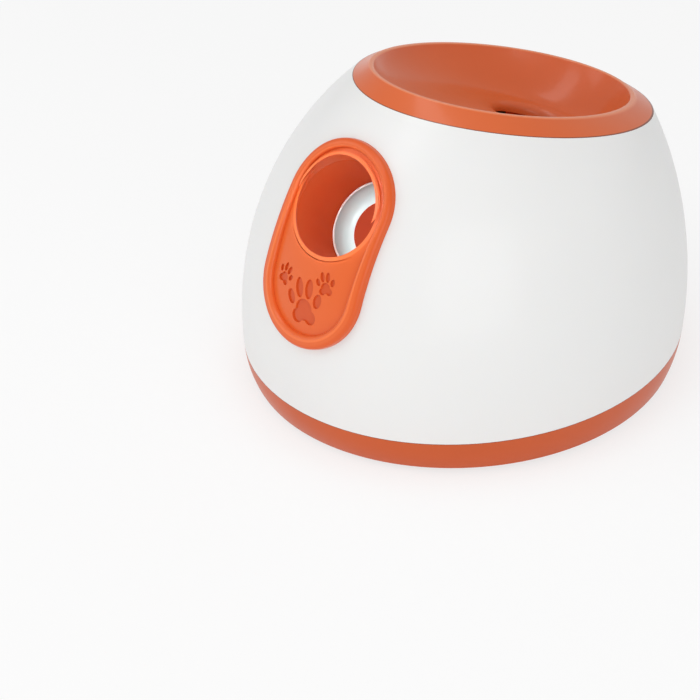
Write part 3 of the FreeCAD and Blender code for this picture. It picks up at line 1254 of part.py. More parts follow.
def indicator_lenses():
    """Light pipes through the rear panel."""
    pipes = []
    for x in lens_spots():
        face = rear_face(x, LENS_Z, PANEL_STAND)
        pipes.append(along_y(rod(LENS_R, BOARD_Y + BOARD_T + 2, face + 0.3), x, 0, LENS_Z))
    return Part.makeCompound(pipes)


def power_inlet():
    """Barrel-plug socket behind the rear panel."""
    face = rear_face(JACK_X, JACK_Z, PANEL_STAND) - 0.4
    shoulder = rear_face(JACK_X + 4.5, JACK_Z + 6) - PANEL_BACK - 0.3
    body = joined([
        along_y(rod(JACK_R, 0, face - shoulder + 1), JACK_X, shoulder - 1, JACK_Z),
        box(JACK_X - 4.5, JACK_X + 4.5, BOARD_Y + BOARD_T, shoulder, JACK_Z - 5.5, JACK_Z + 5.5),
    ])
    body = body.cut(along_y(rod(2.8, 0, 20), JACK_X, face - 7.5, JACK_Z))
    return body.fuse(along_y(rod(1.0, 0, 6.5), JACK_X, face - 8, JACK_Z)).removeSplitter()


# ---------------------------------------------------------------- fasteners
def screw(length, head_r=HEAD_R, head_t=HEAD_T, radius=SCREW_R):
    """Screw along local Z: its head below zero, its shank above."""
    head = rod(head_r, -head_t, 0).cut(box(-head_r * 0.6, head_r * 0.6, -0.5, 0.5, -head_t - 1, -head_t + 1.0))
    return head.fuse(rod(radius, 0, length)).removeSplitter()


def case_screws():
    return Part.makeCompound([upright(screw(30.0), x, y, 9.0) for x, y in case_screw_spots()])


def chassis_screws():
    """Screws of the chassis, the gearbox foot and the main board, heads up."""
    tip = Rotation(X_AXIS, 180)
    flange = CHASSIS_FLOOR + 2.5
    solids = [placed(screw(6.0), Placement(Vector(x, y, flange), tip)) for x, y in chassis_spots() + gearbox_spots()]
    top = BOARD_Z + BOARD_T
    solids += [placed(screw(7.0), Placement(Vector(x, y, top), tip)) for x, y in board_spots()]
    return Part.makeCompound(solids)


def gearbox_screws():
    """Screws through the gearbox cover."""
    body = placed(screw(12.0), Placement(Vector(), Rotation(X_AXIS, 180)))
    return Part.makeCompound([on_axle(body, COVER_X + PLATE_T, y, z) for y, z in gearbox_screw_spots()])


def panel_screws():
    """Screws that hold the control board on the panel's posts."""
    return Part.makeCompound([along_y(screw(8.0), x, BOARD_Y, PANEL_Z - 10) for x in panel_posts()])


PIECES = {
    "upper_shell": upper_shell,
    "base_tray": base_tray,
    "funnel": funnel,
    "outlet_bezel": outlet_bezel,
    "rubber_feet": rubber_feet,
    "launch_barrel": launch_barrel,
    "barrel_end_cap": barrel_end_cap,
    "ball_chute": ball_chute,
    "striker_head": striker_head,
    "striker_cap": striker_cap,
    "striker_pin": striker_pin,
    "rack": rack,
    "launch_spring": launch_spring,
    "cocking_gear": cocking_gear,
    "cocking_shaft": cocking_shaft,
    "driven_gear": driven_gear,
    "second_gear": second_gear,
    "first_gear": first_gear,
    "motor_pinion": motor_pinion,
    "motor_shaft": motor_shaft,
    "motor": motor,
    "gear_axles": gear_axles,
    "shaft_bushes": shaft_bushes,
    "gearbox_plate": gearbox_plate,
    "gearbox_cover": gearbox_cover,
    "chassis": chassis,
    "ball_gate": ball_gate,
    "gate_servo": gate_servo,
    "ball_lever": ball_lever,
    "lever_pin": lever_pin,
    "ball_switch": ball_switch,
    "battery_cells": battery_cells,
    "battery_contacts": battery_contacts,
    "battery_door": battery_door,
    "main_board": main_board,
    "control_board": control_board,
    "control_panel": control_panel,
    "power_button": lambda: button(POWER_X),
    "distance_button": lambda: button(DISTANCE_X),
    "indicator_lenses": indicator_lenses,
    "power_inlet": power_inlet,
    "case_screws": case_screws,
    "chassis_screws": chassis_screws,
    "gearbox_screws": gearbox_screws,
    "panel_screws": panel_screws,
}


def main():
    os.makedirs("parts", exist_ok=True)
    for name, make in PIECES.items():
        shape = make()
        print(f"{name}: {len(shape.Solids)} solids, {shape.Volume / 1000:.1f} cm3, valid {shape.isValid()}")
        shape.exportStep(f"parts/{name}.step")


if __name__ == "__main__":
    main()
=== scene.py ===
import logging
import math
from dataclasses import dataclass
from enum import Enum
from functools import cache
from typing import Callable, Iterable, Union

import bpy
from mathutils import Matrix, Vector


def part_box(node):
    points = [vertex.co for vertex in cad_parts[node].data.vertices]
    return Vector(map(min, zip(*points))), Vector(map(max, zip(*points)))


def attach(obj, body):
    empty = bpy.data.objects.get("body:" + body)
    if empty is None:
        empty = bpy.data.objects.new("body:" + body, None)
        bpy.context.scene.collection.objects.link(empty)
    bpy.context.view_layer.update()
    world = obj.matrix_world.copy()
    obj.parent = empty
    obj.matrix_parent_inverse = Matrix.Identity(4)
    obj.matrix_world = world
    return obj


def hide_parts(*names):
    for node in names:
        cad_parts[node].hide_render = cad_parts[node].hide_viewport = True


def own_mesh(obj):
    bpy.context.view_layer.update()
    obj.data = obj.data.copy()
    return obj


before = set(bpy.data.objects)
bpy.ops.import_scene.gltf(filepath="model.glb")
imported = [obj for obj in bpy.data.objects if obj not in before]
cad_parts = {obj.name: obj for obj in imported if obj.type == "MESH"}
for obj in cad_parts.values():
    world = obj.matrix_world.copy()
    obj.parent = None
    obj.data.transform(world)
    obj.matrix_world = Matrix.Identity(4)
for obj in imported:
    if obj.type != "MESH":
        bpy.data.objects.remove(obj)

LOG = logging.getLogger("launcher")
MM = 0.001
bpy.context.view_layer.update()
MOUTH = (0.0, -121.0 * MM, 154.5 * MM)
BARREL_PITCH = math.radians(40.0)
BORE_WAY = (0.0, math.cos(BARREL_PITCH), -math.sin(BARREL_PITCH))
RIM_TILT = math.radians(13.2)
AIM = (0.0, 0.0, 0.1)

Colour = tuple[float, float, float]
Point = tuple[float, float, float]
Pair = tuple[float, float]
Operand = Union["Value", float]


def linear(colour: Colour) -> tuple[float, float, float, float]:
    """Turns a display colour into the linear colour that shaders work in.

    Args:
        colour: Red, green and blue as displayed, from 0 to 255.

    Returns:
        Linear red, green and blue, with an alpha of 1.
    """
    channels = []
    for channel in colour:
        part = channel / 255.0
        channels.append(part / 12.92 if part <= 0.04045 else ((part + 0.055) / 1.055) ** 2.4)
    return (channels[0], channels[1], channels[2], 1.0)


# ------------------------------------------------------------------ shader graph
class Value:
    """A number that varies over a surface; arithmetic on it adds Math nodes."""

    def __init__(self, graph: "Graph", socket: bpy.types.NodeSocket) -> None:
        """Wraps one output socket of a graph."""
        self.graph = graph
        self.socket = socket

    def _math(self, operation: str, *operands: Operand) -> "Value":
        """Adds one Math node.

        Args:
            operation: The node's operation.
            operands: Its inputs in order.

        Returns:
            The node's result.
        """
        inputs = dict(enumerate(operands))
        return self.graph.node("ShaderNodeMath", {"operation": operation}, inputs)

    def __add__(self, other: Operand) -> "Value":
        """Sum."""
        return self._math("ADD", self, other)

    __radd__ = __add__

    def __sub__(self, other: Operand) -> "Value":
        """Difference."""
        return self._math("SUBTRACT", self, other)

    def __rsub__(self, other: Operand) -> "Value":
        """Difference, with the value on the right."""
        return self._math("SUBTRACT", other, self)

    def __mul__(self, other: Operand) -> "Value":
        """Product."""
        return self._math("MULTIPLY", self, other)

    __rmul__ = __mul__

    def __mod__(self, other: Operand) -> "Value":
        """Remainder."""
        return self._math("MODULO", self, other)

    def __abs__(self) -> "Value":
        """Size without its sign."""
        return self._math("ABSOLUTE", self)

    def clamped(self, low: float, high: float) -> "Value":
        """Keeps the value between low and high."""
        return self._math("MINIMUM", self._math("MAXIMUM", self, low), high)

    def ramp(self, low: float, high: float) -> "Value":
        """Rises smoothly from 0 at low to 1 at high."""
        settings = {"interpolation_type": "SMOOTHSTEP"}
        inputs = {"Value": self, "From Min": low, "From Max": high}
        return self.graph.node("ShaderNodeMapRange", settings, inputs)


class Graph:
    """The node graph of one material, ending in a Principled shader."""

    def __init__(self, name: str) -> None:
        """Starts an empty material of that name."""
        self.material = bpy.data.materials.new(name)
        self.material.use_nodes = True
        self.tree = self.material.node_tree
        self.tree.nodes.clear()
        self.output = self.tree.nodes.new("ShaderNodeOutputMaterial")

    def node(
        self,
        kind: str,
        settings: dict | None = None,
        inputs: dict | None = None,
        output: int | str = 0,
    ) -> Value:
        """Adds a node.

        Args:
            kind: The node's type.
            settings: Properties that are set before its sockets.
            inputs: Values or links by socket name or number.
            output: The socket that is handed back.

        Returns:
            The chosen output, wrapped.
        """
        node = self.tree.nodes.new(kind)
        for name, setting in (settings or {}).items():
            setattr(node, name, setting)
        for name, entry in (inputs or {}).items():
            if isinstance(entry, Value):
                self.tree.links.new(entry.socket, node.inputs[name])
            else:
                node.inputs[name].default_value = entry
        return Value(self, node.outputs[output])

    def vector(self, operation: str, *operands: object, output: int | str = 0) -> Value:
        """Adds one Vector Math node.

        Args:
            operation: The node's operation.
            operands: Its inputs in order.
            output: The socket that is handed back.

        Returns:
            The node's result.
        """
        return self.node("ShaderNodeVectorMath", {"operation": operation}, dict(enumerate(operands)), output)

    def place(self, scale: Point = (1.0, 1.0, 1.0), turn: Point = (0.0, 0.0, 0.0)) -> Value:
        """Object coordinates in metres, scaled and turned.

        Args:
            scale: Factor along each axis.
            turn: Turn about each axis in degrees.

        Returns:
            The coordinates.
        """
        where = self.node("ShaderNodeTexCoord", output="Object")
        turned = tuple(math.radians(angle) for angle in turn)
        return self.node("ShaderNodeMapping", None, {"Vector": where, "Rotation": turned, "Scale": scale})

    def noise(self, size: float, detail: float = 3.0, where: Value | None = None) -> Value:
        """Soft noise from 0 to 1.

        Args:
            size: Width of its lumps in metres.
            detail: Octaves of finer noise.
            where: Coordinates, or None for plain Object coordinates.

        Returns:
            The noise.
        """
        inputs = {"Vector": where or self.place(), "Scale": 1.0 / size, "Detail": detail, "Roughness": 0.55}
        return self.node("ShaderNodeTexNoise", {"noise_dimensions": "3D"}, inputs, "Fac")

    def axis(self, letter: str, where: Value | None = None) -> Value:
        """One coordinate of a point, in metres."""
        return self.node("ShaderNodeSeparateXYZ", None, {"Vector": where or self.place()}, letter)

    def reach(self, start: Point, way: Point) -> Value:
        """Distance of a point from a line, in metres.

        Args:
            start: A point of the line.
            way: The line's direction, of length 1.

        Returns:
            The distance.
        """
        crossed = self.vector("CROSS_PRODUCT", self.vector("SUBTRACT", self.place(), start), way)
        return self.vector("LENGTH", crossed, output="Value")

    def off_plane(self, point: Point, square: Point) -> Value:
        """Distance of a point from a plane, in metres.

        Args:
            point: A point of the plane.
            square: The direction square to it, of length 1.

        Returns:
            The distance, never negative.
        """
        offset = self.vector("SUBTRACT", self.place(), point)
        return abs(self.vector("DOT_PRODUCT", offset, square, output="Value"))

    def flat(self, origin: Point, across: Point, upward: Point) -> Value:
        """Coordinates on a plane, in metres.

        Args:
            origin: The plane's origin.
            across: Direction of the first coordinate, of length 1.
            upward: Direction of the second one, of length 1.

        Returns:
            The two coordinates, with 0 as the third.
        """
        offset = self.vector("SUBTRACT", self.place(), origin)
        along = [self.vector("DOT_PRODUCT", offset, way, output="Value") for way in (across, upward)]
        return self.node("ShaderNodeCombineXYZ", None, {"X": along[0], "Y": along[1]})

    def oval(self, where: Value, centre: Pair, half: Pair, turn: float) -> Value:
        """Distance from an oval's middle, as a share of its half axes.

        Args:
            where: Coordinates on the oval's plane.
            centre: Its middle.
            half: Its half axes.
            turn: Its turn in degrees.

        Returns:
            0 in the middle and 1 on the outline.
        """
        inputs = {
            "Vector": where,
            "Location": (*centre, 0.0),
            "Rotation": (0.0, 0.0, math.radians(turn)),
            "Scale": (*half, 1.0),
        }
        local = self.node("ShaderNodeMapping", {"vector_type": "TEXTURE"}, inputs)
        return self.vector("LENGTH", local, output="Value")

    def lobe(self, where: Value, drop: float) -> Value:
        """Distance from a line that hangs straight down from a plane's origin.

        Args:
            where: Coordinates on the plane.
            drop: The line's length in metres.

        Returns:
            The distance in metres.
        """
        up = self.axis("Y", where)
        beyond = up - up.clamped(-drop, 0.0)
        offset = self.node("ShaderNodeCombineXYZ", None, {"X": self.axis("X", where), "Y": beyond})
        return self.vector("LENGTH", offset, output="Value")

    def blend(self, amount: Operand, first: object, second: object) -> Value:
        """Mixes two colours.

        Args:
            amount: 0 gives the first and 1 the second.
            first: A colour value or link.
            second: A colour value or link.

        Returns:
            The mixed colour.
        """
        settings = {"data_type": "RGBA", "blend_type": "MIX"}
        return self.node("ShaderNodeMix", settings, {0: amount, 6: first, 7: second}, 2)

    def bump(self, height: Value, depth: float, strength: float = 1.0, under: Value | None = None) -> Value:
        """Turns a height into a surface normal.

        Args:
            height: The relief, from 0 to 1.
            depth: The relief's full depth in metres.
            strength: How strongly it shows.
            under: A normal that it is added to.

        Returns:
            The normal.
        """
        inputs: dict = {"Height": height, "Distance": depth, "Strength": strength}
        if under is not None:
            inputs["Normal"] = under
        return self.node("ShaderNodeBump", None, inputs)

    def finish(self, **sockets: object) -> bpy.types.Material:
        """Ends the graph in a Principled shader.

        Args:
            sockets: Its sockets by name, with underscores for spaces.

        Returns:
            The finished material.
        """
        inputs = {name.replace("_", " "): entry for name, entry in sockets.items()}
        shader = self.node("ShaderNodeBsdfPrincipled", None, inputs, "BSDF")
        self.tree.links.new(shader.socket, self.output.inputs["Surface"])
        return self.material


# ------------------------------------------------------------------ finishes
@dataclass(frozen=True)
class MouldedPlastic:
    """Satin injection-moulded plastic with a fine mould texture, faint flow marks and handling haze."""

    name: str
    colour: Colour
    shade: Colour
    roughness: float = 0.34
    gloss: float = 0.25
    shine: float = 0.4
    depth: float = 0.03
    grain: float = 0.9 * MM
    grain_depth: float = 0.01 * MM
    flow_size: float = 90.0 * MM
    flow_depth: float = 0.12 * MM
    haze_size: float = 22.0 * MM
    speck_size: float = 2.2 * MM

    def tint(self, graph: Graph, colour: Value) -> Value:
        """Colours parts of the surface in another way; plain plastic leaves them.

        Args:
            graph: The material's graph; plain plastic does not use it.
            colour: The plastic's colour.

        Returns:
            The colour that is used.
        """
        return colour

    def build(self) -> bpy.types.Material:
        """Makes the material."""
        graph = Graph(self.name)
        flow = graph.noise(self.flow_size, 2.0, graph.place((1.0, 1.0, 0.45)))
        haze = graph.noise(self.haze_size, 4.0)
        speck = graph.noise(self.speck_size, 2.0).ramp(0.66, 0.74)
        tone = (flow.ramp(0.3, 0.75) * 0.55 + haze * 0.25).clamped(0.0, 1.0)
        colour = self.tint(graph, graph.blend(tone, linear(self.colour), linear(self.shade)))
        rough = self.roughness - 0.05 + haze * 0.08 + speck * 0.04
        normal = graph.bump(graph.noise(self.grain, 3.0), self.grain_depth)
        normal = graph.bump(flow, self.flow_depth, 0.5, normal)
        return graph.finish(
            Base_Color=colour,
            Roughness=rough,
            Normal=normal,
            Specular_IOR_Level=self.shine,
            Coat_Weight=self.gloss,
            Coat_Roughness=0.16,
            Subsurface_Weight=self.depth,
            Subsurface_Radius=(0.004, 0.003, 0.002),
            IOR=1.46,
        )


@dataclass(frozen=True)
class TurnedPlastic(MouldedPlastic):
    """Plastic of a round piece in the barrel, with another colour beyond a radius."""

    line: float = 29.7 * MM
    soft: float = 0.05 * MM
    outside: Colour = (0, 0, 0)

    def tint(self, graph: Graph, colour: Value) -> Value:
        """Colours what lies beyond the line round the barrel's axis.

        Args:
            graph: The material's graph.
            colour: The plastic's colour.

        Returns:
            The colour that is used.
        """
        out = graph.reach(MOUTH, BORE_WAY).ramp(self.line - self.soft, self.line + self.soft)
        return graph.blend(out, colour, linear(self.outside))


@dataclass(frozen=True)
class Paw:
    """One paw print in the bezel: its middle, its size and its turn on the bezel's plane."""

    x: float
    up: float
    size: float
    turn: float

    def ovals(self) -> Iterable[tuple[Pair, Pair, float]]:
        """The middle, half axes and turn of the pad's three lobes and the four toes."""
        lean = math.radians(self.turn)
        lobes = [(0.0, 0.0, 0.27, 0.27, 0.0)]
        for side in (-1.0, 1.0):
            lobes.append((side * 0.2, -0.17, 0.18, 0.18, 0.0))
            lobes.append((side * 0.43, 0.27, 0.19, 0.12, 90.0 - side * 20.0))
            lobes.append((side * 0.16, 0.53, 0.25, 0.125, 90.0 - side * 6.0))
        for x, up, half_l, half_w, turn in lobes:
            across = self.x + self.size * (x * math.cos(lean) - up * math.sin(lean))
            upward = self.up + self.size * (x * math.sin(lean) + up * math.cos(lean))
            yield (across, upward), (half_l * self.size, half_w * self.size), turn + self.turn


@dataclass(frozen=True)
class BezelPlastic(MouldedPlastic):
    """The bezel's plastic: tunnel colour down the mouth, painted highlights on the lip and the bead's crest,
    and painted shade on the bead's outer slope and on the floors of the paw prints.
    """

    bore: float = 29.7 * MM
    lip: float = 31.6 * MM
    pitch: float = 22.8
    tunnel: Colour = (228, 100, 52)
    # Painted light colours: the first is the painted highlight on the lip and the bead's crest, the next two
    # are the painted shade on the print floors and on the bead's outer slope.
    painted_highlight: Colour = (255, 132, 72)
    print_shade: Colour = (214, 84, 32)
    flank_shade: Colour = (224, 88, 24)
    drop: float = 50.0 * MM
    bead_edge: float = 33.4 * MM
    bead_side: float = 36.2 * MM
    paws: tuple[Paw, ...] = (
        Paw(1.5 * MM, -65.5 * MM, 24.0 * MM, 12.0),
        Paw(-19.5 * MM, -53.0 * MM, 11.5 * MM, -18.0),
        Paw(13.8 * MM, -47.2 * MM, 12.0 * MM, 18.0),
    )
    bore_soft: float = 0.05 * MM
    # Softness and strength of the painted highlights on the lip and the bead's crest and of the painted shade
    # on the bead's outer slope.
    lip_highlight_soft: float = 0.3 * MM
    flank_shade_soft: float = 0.9 * MM
    bead_highlight_fade: Pair = (0.3 * MM, 1.1 * MM)
    flank_shade_strength: float = 0.7
    bead_highlight_strength: float = 0.55
    lip_highlight_strength: float = 0.6

    def tint(self, graph: Graph, colour: Value) -> Value:
        """Colours the mouth, and paints highlights on its lip and the bead's crest and shade on the bead's
        outer slope and the floors of the prints.

        Args:
            graph: The material's graph.
            colour: The plastic's colour.

        Returns:
            The colour that is used.
        """
        rise = math.radians(self.pitch)
        where = graph.flat(MOUTH, (1.0, 0.0, 0.0), (0.0, math.sin(rise), math.cos(rise)))
        # Painted shade: the floors of the paw prints get a darker colour that stands in for the shade in their
        # recesses.
        for paw in self.paws:
            for centre, half, turn in paw.ovals():
                inside = 1.0 - graph.oval(where, centre, half, turn).ramp(0.94, 1.02)
                colour = graph.blend(inside, colour, linear(self.print_shade))
        bead = graph.lobe(where, self.drop)
        # Painted shade: the bead's outer slope is darkened as if it faced away from the lamps.
        side = bead.ramp(self.bead_side - self.flank_shade_soft, self.bead_side + self.flank_shade_soft)
        colour = graph.blend(side * self.flank_shade_strength, colour, linear(self.flank_shade))
        # Painted highlight: a lighter line along the bead's inner crest, where a rounded edge would catch the
        # light.
        edge = 1.0 - abs(bead - self.bead_edge).ramp(*self.bead_highlight_fade)
        colour = graph.blend(edge * self.bead_highlight_strength, colour, linear(self.painted_highlight))
        out = graph.reach(MOUTH, BORE_WAY)
        # Painted highlight: a lighter ring round the mouth's lip.
        lip = 1.0 - out.ramp(self.lip - self.lip_highlight_soft, self.lip + self.lip_highlight_soft)
        colour = graph.blend(lip * self.lip_highlight_strength, colour, linear(self.painted_highlight))
        beyond = out.ramp(self.bore - self.bore_soft, self.bore + self.bore_soft)
        return graph.blend(beyond, linear(self.tunnel), colour)


@dataclass(frozen=True)
class SeamedPlastic(MouldedPlastic):
    """Plastic with a painted shadow along the parting line where it meets the white case, and a painted
    highlight on its crest if it has one.
    """

    # Colour of the painted shadow along the parting line.
    seam_shadow: Colour = (90, 44, 26)
    seam_width: float = 0.45 * MM
    at: Point = (0.0, 0.0, 0.0)
    square: Point = (0.0, 0.0, 1.0)
    inside: Pair | None = None
    middle: float = 28.6 * MM
    crest: Point | None = None
    crest_tilt: float = 0.0
    crest_width: float = 0.9 * MM
    # Colour and strength of the painted highlight on the crest, then the strength of the painted shadow along
    # the parting line.
    painted_highlight: Colour = (244, 158, 116)
    crest_highlight_strength: float = 0.6
    seam_shadow_strength: float = 0.8

    def tint(self, graph: Graph, colour: Value) -> Value:
        """Paints a shadow along the parting plane and a highlight on the crest.

        Args:
            graph: The material's graph.
            colour: The plastic's colour.

        Returns:
            The colour that is used.
        """
        # Painted highlight: a lighter line along the crest, where a rounded lip would catch the light.
        if self.crest:
            tilt = math.radians(self.crest_tilt)
            away = graph.off_plane(self.crest, (0.0, math.sin(tilt), math.cos(tilt)))
            crest_highlight = 1.0 - away.ramp(0.0, self.crest_width)
            colour = graph.blend(crest_highlight * self.crest_highlight_strength, colour, linear(self.painted_highlight))
        # Painted shadow: a dark line along the parting plane, where the piece meets the case.
        away = graph.off_plane(self.at, self.square)
        seam_shadow_mask = 1.0 - away.ramp(self.seam_width * 0.6, self.seam_width)
        if self.inside:
            where = graph.flat((0.0, self.middle, 0.0), (1.0, 0.0, 0.0), (0.0, 1.0, 0.0))
            seam_shadow_mask = seam_shadow_mask * graph.oval(where, (0.0, 0.0), self.inside, 0.0).ramp(0.99, 1.005)
        return graph.blend(seam_shadow_mask * self.seam_shadow_strength, colour, linear(self.seam_shadow))


@dataclass(frozen=True)
class TexturedPlastic:
    """Matt structural plastic with a spark-eroded texture."""

    name: str
    colour: Colour
    shade: Colour
    roughness: float = 0.55

    def build(self) -> bpy.types.Material:
        """Makes the material."""
        graph = Graph(self.name)
        pits = graph.noise(0.0007, 5.0)
        patch = graph.noise(0.03, 3.0)
        colour = graph.blend(patch.ramp(0.3, 0.8), linear(self.colour), linear(self.shade))
        normal = graph.bump(pits, 0.00006)
        return graph.finish(Base_Color=colour, Roughness=self.roughness - 0.06 + pits * 0.14, Normal=normal)


@dataclass(frozen=True)
class Rubber:
    """Soft moulded rubber, dusty where it meets the floor."""

    name: str
    colour: Colour
    dust: Colour

    def build(self) -> bpy.types.Material:
        """Makes the material."""
        graph = Graph(self.name)
        grain = graph.noise(0.0011, 4.0)
        dusty = (1.0 - graph.axis("Z").ramp(0.0, 0.003)) * graph.noise(0.006, 3.0).ramp(0.4, 0.7)
        colour = graph.blend(dusty * 0.6, linear(self.colour), linear(self.dust))
        normal = graph.bump(grain, 0.00008)
        return graph.finish(Base_Color=colour, Roughness=0.72 + grain * 0.2, Normal=normal)


class Grain(Enum):
    """The way a metal's drawing or turning marks run."""

    ALONG_X = (0.03, 1.0, 1.0)
    ALONG_Y = (1.0, 0.03, 1.0)
    ALONG_Z = (1.0, 1.0, 0.03)
    EVEN = (1.0, 1.0, 1.0)


@dataclass(frozen=True)
class Metal:
    """Bare metal with drawing marks and a light tarnish."""

    name: str
    colour: Colour
    tarnish: Colour
    grain: Grain = Grain.EVEN
    roughness: float = 0.28

    def build(self) -> bpy.types.Material:
        """Makes the material."""
        graph = Graph(self.name)
        marks = graph.noise(0.0006, 4.0, graph.place(self.grain.value))
        patch = graph.noise(0.012, 3.0)
        colour = graph.blend(patch.ramp(0.45, 0.8) * 0.6, linear(self.colour), linear(self.tarnish))
        rough = self.roughness + marks * 0.12 + patch * 0.06
        normal = graph.bump(marks, 0.00002)
        return graph.finish(Base_Color=colour, Metallic=1.0, Roughness=rough, Normal=normal)


@dataclass(frozen=True)
class CircuitBoard:
    """Green solder mask over copper traces, with pale pads."""

    name: str
    mask: Colour
    trace: Colour
    pad: Colour
    traces_per_m: float = 260.0
    pads_per_m: float = 330.0

    def build(self) -> bpy.types.Material:
        """Makes the material."""
        graph = Graph(self.name)
        cells = {"feature": "DISTANCE_TO_EDGE", "distance": "MANHATTAN"}
        spread = {"Vector": graph.place(), "Scale": self.traces_per_m}
        edge = graph.node("ShaderNodeTexVoronoi", cells, spread, "Distance")
        trace = 1.0 - edge.ramp(0.05, 0.09)
        spread = {"Vector": graph.place(), "Scale": self.pads_per_m}
        dots = graph.node("ShaderNodeTexVoronoi", None, spread, "Distance")
        pads = 1.0 - dots.ramp(0.16, 0.2)
        colour = graph.blend(trace * 0.7, linear(self.mask), linear(self.trace))
        colour = graph.blend(pads, colour, linear(self.pad))
        normal = graph.bump(trace, 0.00006)
        return graph.finish(Base_Color=colour, Roughness=0.42 - pads * 0.12, Metallic=pads * 0.8, Normal=normal)


@dataclass(frozen=True)
class CellWrap:
    """Printed sleeve of a round cell, with a coloured band and bare metal ends."""

    name: str
    sleeve: Colour
    band: Colour
    pitch: float = 51.0 * MM
    pitches_ahead: float = 1.99
    band_start: float = 31.0 * MM
    band_end: float = 44.0 * MM
    edge: float = 0.5 * MM

    def build(self) -> bpy.types.Material:
        """Makes the material."""
        graph = Graph(self.name)
        along = (graph.axis("X") + self.pitch * self.pitches_ahead) % self.pitch
        start = along.ramp(self.band_start, self.band_start + self.edge)
        band = start * (1.0 - along.ramp(self.band_end, self.band_end + self.edge))
        scuff = graph.noise(0.004, 4.0)
        colour = graph.blend(band, linear(self.sleeve), linear(self.band))
        return graph.finish(
            Base_Color=colour,
            Roughness=0.26 + scuff * 0.14,
            Metallic=band * 0.6,
            Normal=graph.bump(scuff, 0.00004),
        )


@dataclass(frozen=True)
class LightPipe:
    """Frosted clear plastic that passes a lamp's glow."""

    name: str
    colour: Colour

    def build(self) -> bpy.types.Material:
        """Makes the material."""
        graph = Graph(self.name)
        frost = graph.noise(0.0005, 3.0)
        colour = graph.blend(frost * 0.4, linear(self.colour), linear((255, 255, 255)))
        return graph.finish(
            Base_Color=colour,
            Roughness=0.3 + frost * 0.25,
            Normal=graph.bump(frost, 0.00002),
            Subsurface_Weight=0.4,
            Subsurface_Radius=(0.002, 0.002, 0.002),
        )


class Finish(Enum):
    """The launcher's finishes."""

    CASE = MouldedPlastic("case_plastic", (239, 239, 238), (236, 236, 235), 0.38, 0.2, 0.35, 0.06)
    # The bezel's plastic, with painted highlights on its lip and bead and painted shade on its outer slope and
    # print floors.
    BEZEL = BezelPlastic("bezel_plastic", (234, 106, 46), (229, 100, 42), 0.36, 0.2, 0.35)
    # The base's plastic, with a painted shadow along its parting line with the case.
    BASE = SeamedPlastic(
        "base_plastic", (206, 91, 40), (199, 86, 38), 0.4, 0.12, 0.3,
        at=(0.0, 0.0, 24.0 * MM), square=(0.0, 0.0, -1.0), seam_width=0.4 * MM,
    )
    # The funnel's plastic, with a painted shadow along its parting line with the case and a painted highlight
    # on its lip's crest.
    FUNNEL = SeamedPlastic(
        "funnel_plastic", (222, 103, 46), (215, 97, 43), 0.4, 0.35, 0.45,
        at=(0.0, 0.0, 182.2 * MM), square=(0.0, math.sin(RIM_TILT), math.cos(RIM_TILT)),
        inside=(76.2 * MM, 95.5 * MM), crest=(0.0, 28.6 * MM, 182.5 * MM), crest_tilt=15.2,
    )
    DOOR = MouldedPlastic("door_plastic", (222, 98, 44), (214, 92, 40), 0.4, 0.12, 0.3)
    TUNNEL = MouldedPlastic("tunnel_plastic", (228, 100, 52), (223, 96, 49), 0.6, 0.0, 0.12, 0.0)
    STRIKER = TurnedPlastic(
        "striker_plastic", (198, 222, 224), (192, 216, 218), 0.36, 0.1, 0.3, 0.0,
        line=27.6 * MM, outside=(248, 250, 250),
    )
    HUB = TurnedPlastic(
        "hub_plastic", (158, 56, 28), (150, 52, 26), 0.5, 0.0, 0.2, 0.0,
        line=18.3 * MM, outside=(240, 238, 236),
    )
    MARK = MouldedPlastic("mark_ink", (240, 239, 236), (232, 231, 228), 0.5, 0.0)
    PANEL = TexturedPlastic("panel_plastic", (222, 222, 220), (212, 212, 210), 0.5)
    FRAME = TexturedPlastic("frame_moulding", (58, 58, 60), (48, 48, 50))
    GEAR = TexturedPlastic("gear_moulding", (232, 229, 216), (222, 218, 204), 0.4)
    BLACK = TexturedPlastic("fitting_moulding", (30, 30, 31), (22, 22, 23), 0.4)
    FEET = Rubber("sole_rubber", (44, 44, 45), (120, 116, 110))
    STEEL = Metal("turned_steel", (196, 197, 200), (168, 168, 170), Grain.ALONG_X)
    SPRING = Metal("spring_wire", (150, 151, 155), (120, 119, 118), Grain.EVEN, 0.3)
    BRASS = Metal("turned_brass", (206, 172, 104), (170, 136, 78), Grain.ALONG_X)
    BOARD = CircuitBoard("solder_mask", (20, 84, 48), (44, 120, 70), (206, 190, 140))
    CELL = CellWrap("cell_sleeve", (52, 58, 68), (196, 150, 84))
    LENS = LightPipe("lens_moulding", (196, 232, 200))

    @cache
    def material(self) -> bpy.types.Material:
        """The finish's material, made once."""
        return self.value.build()


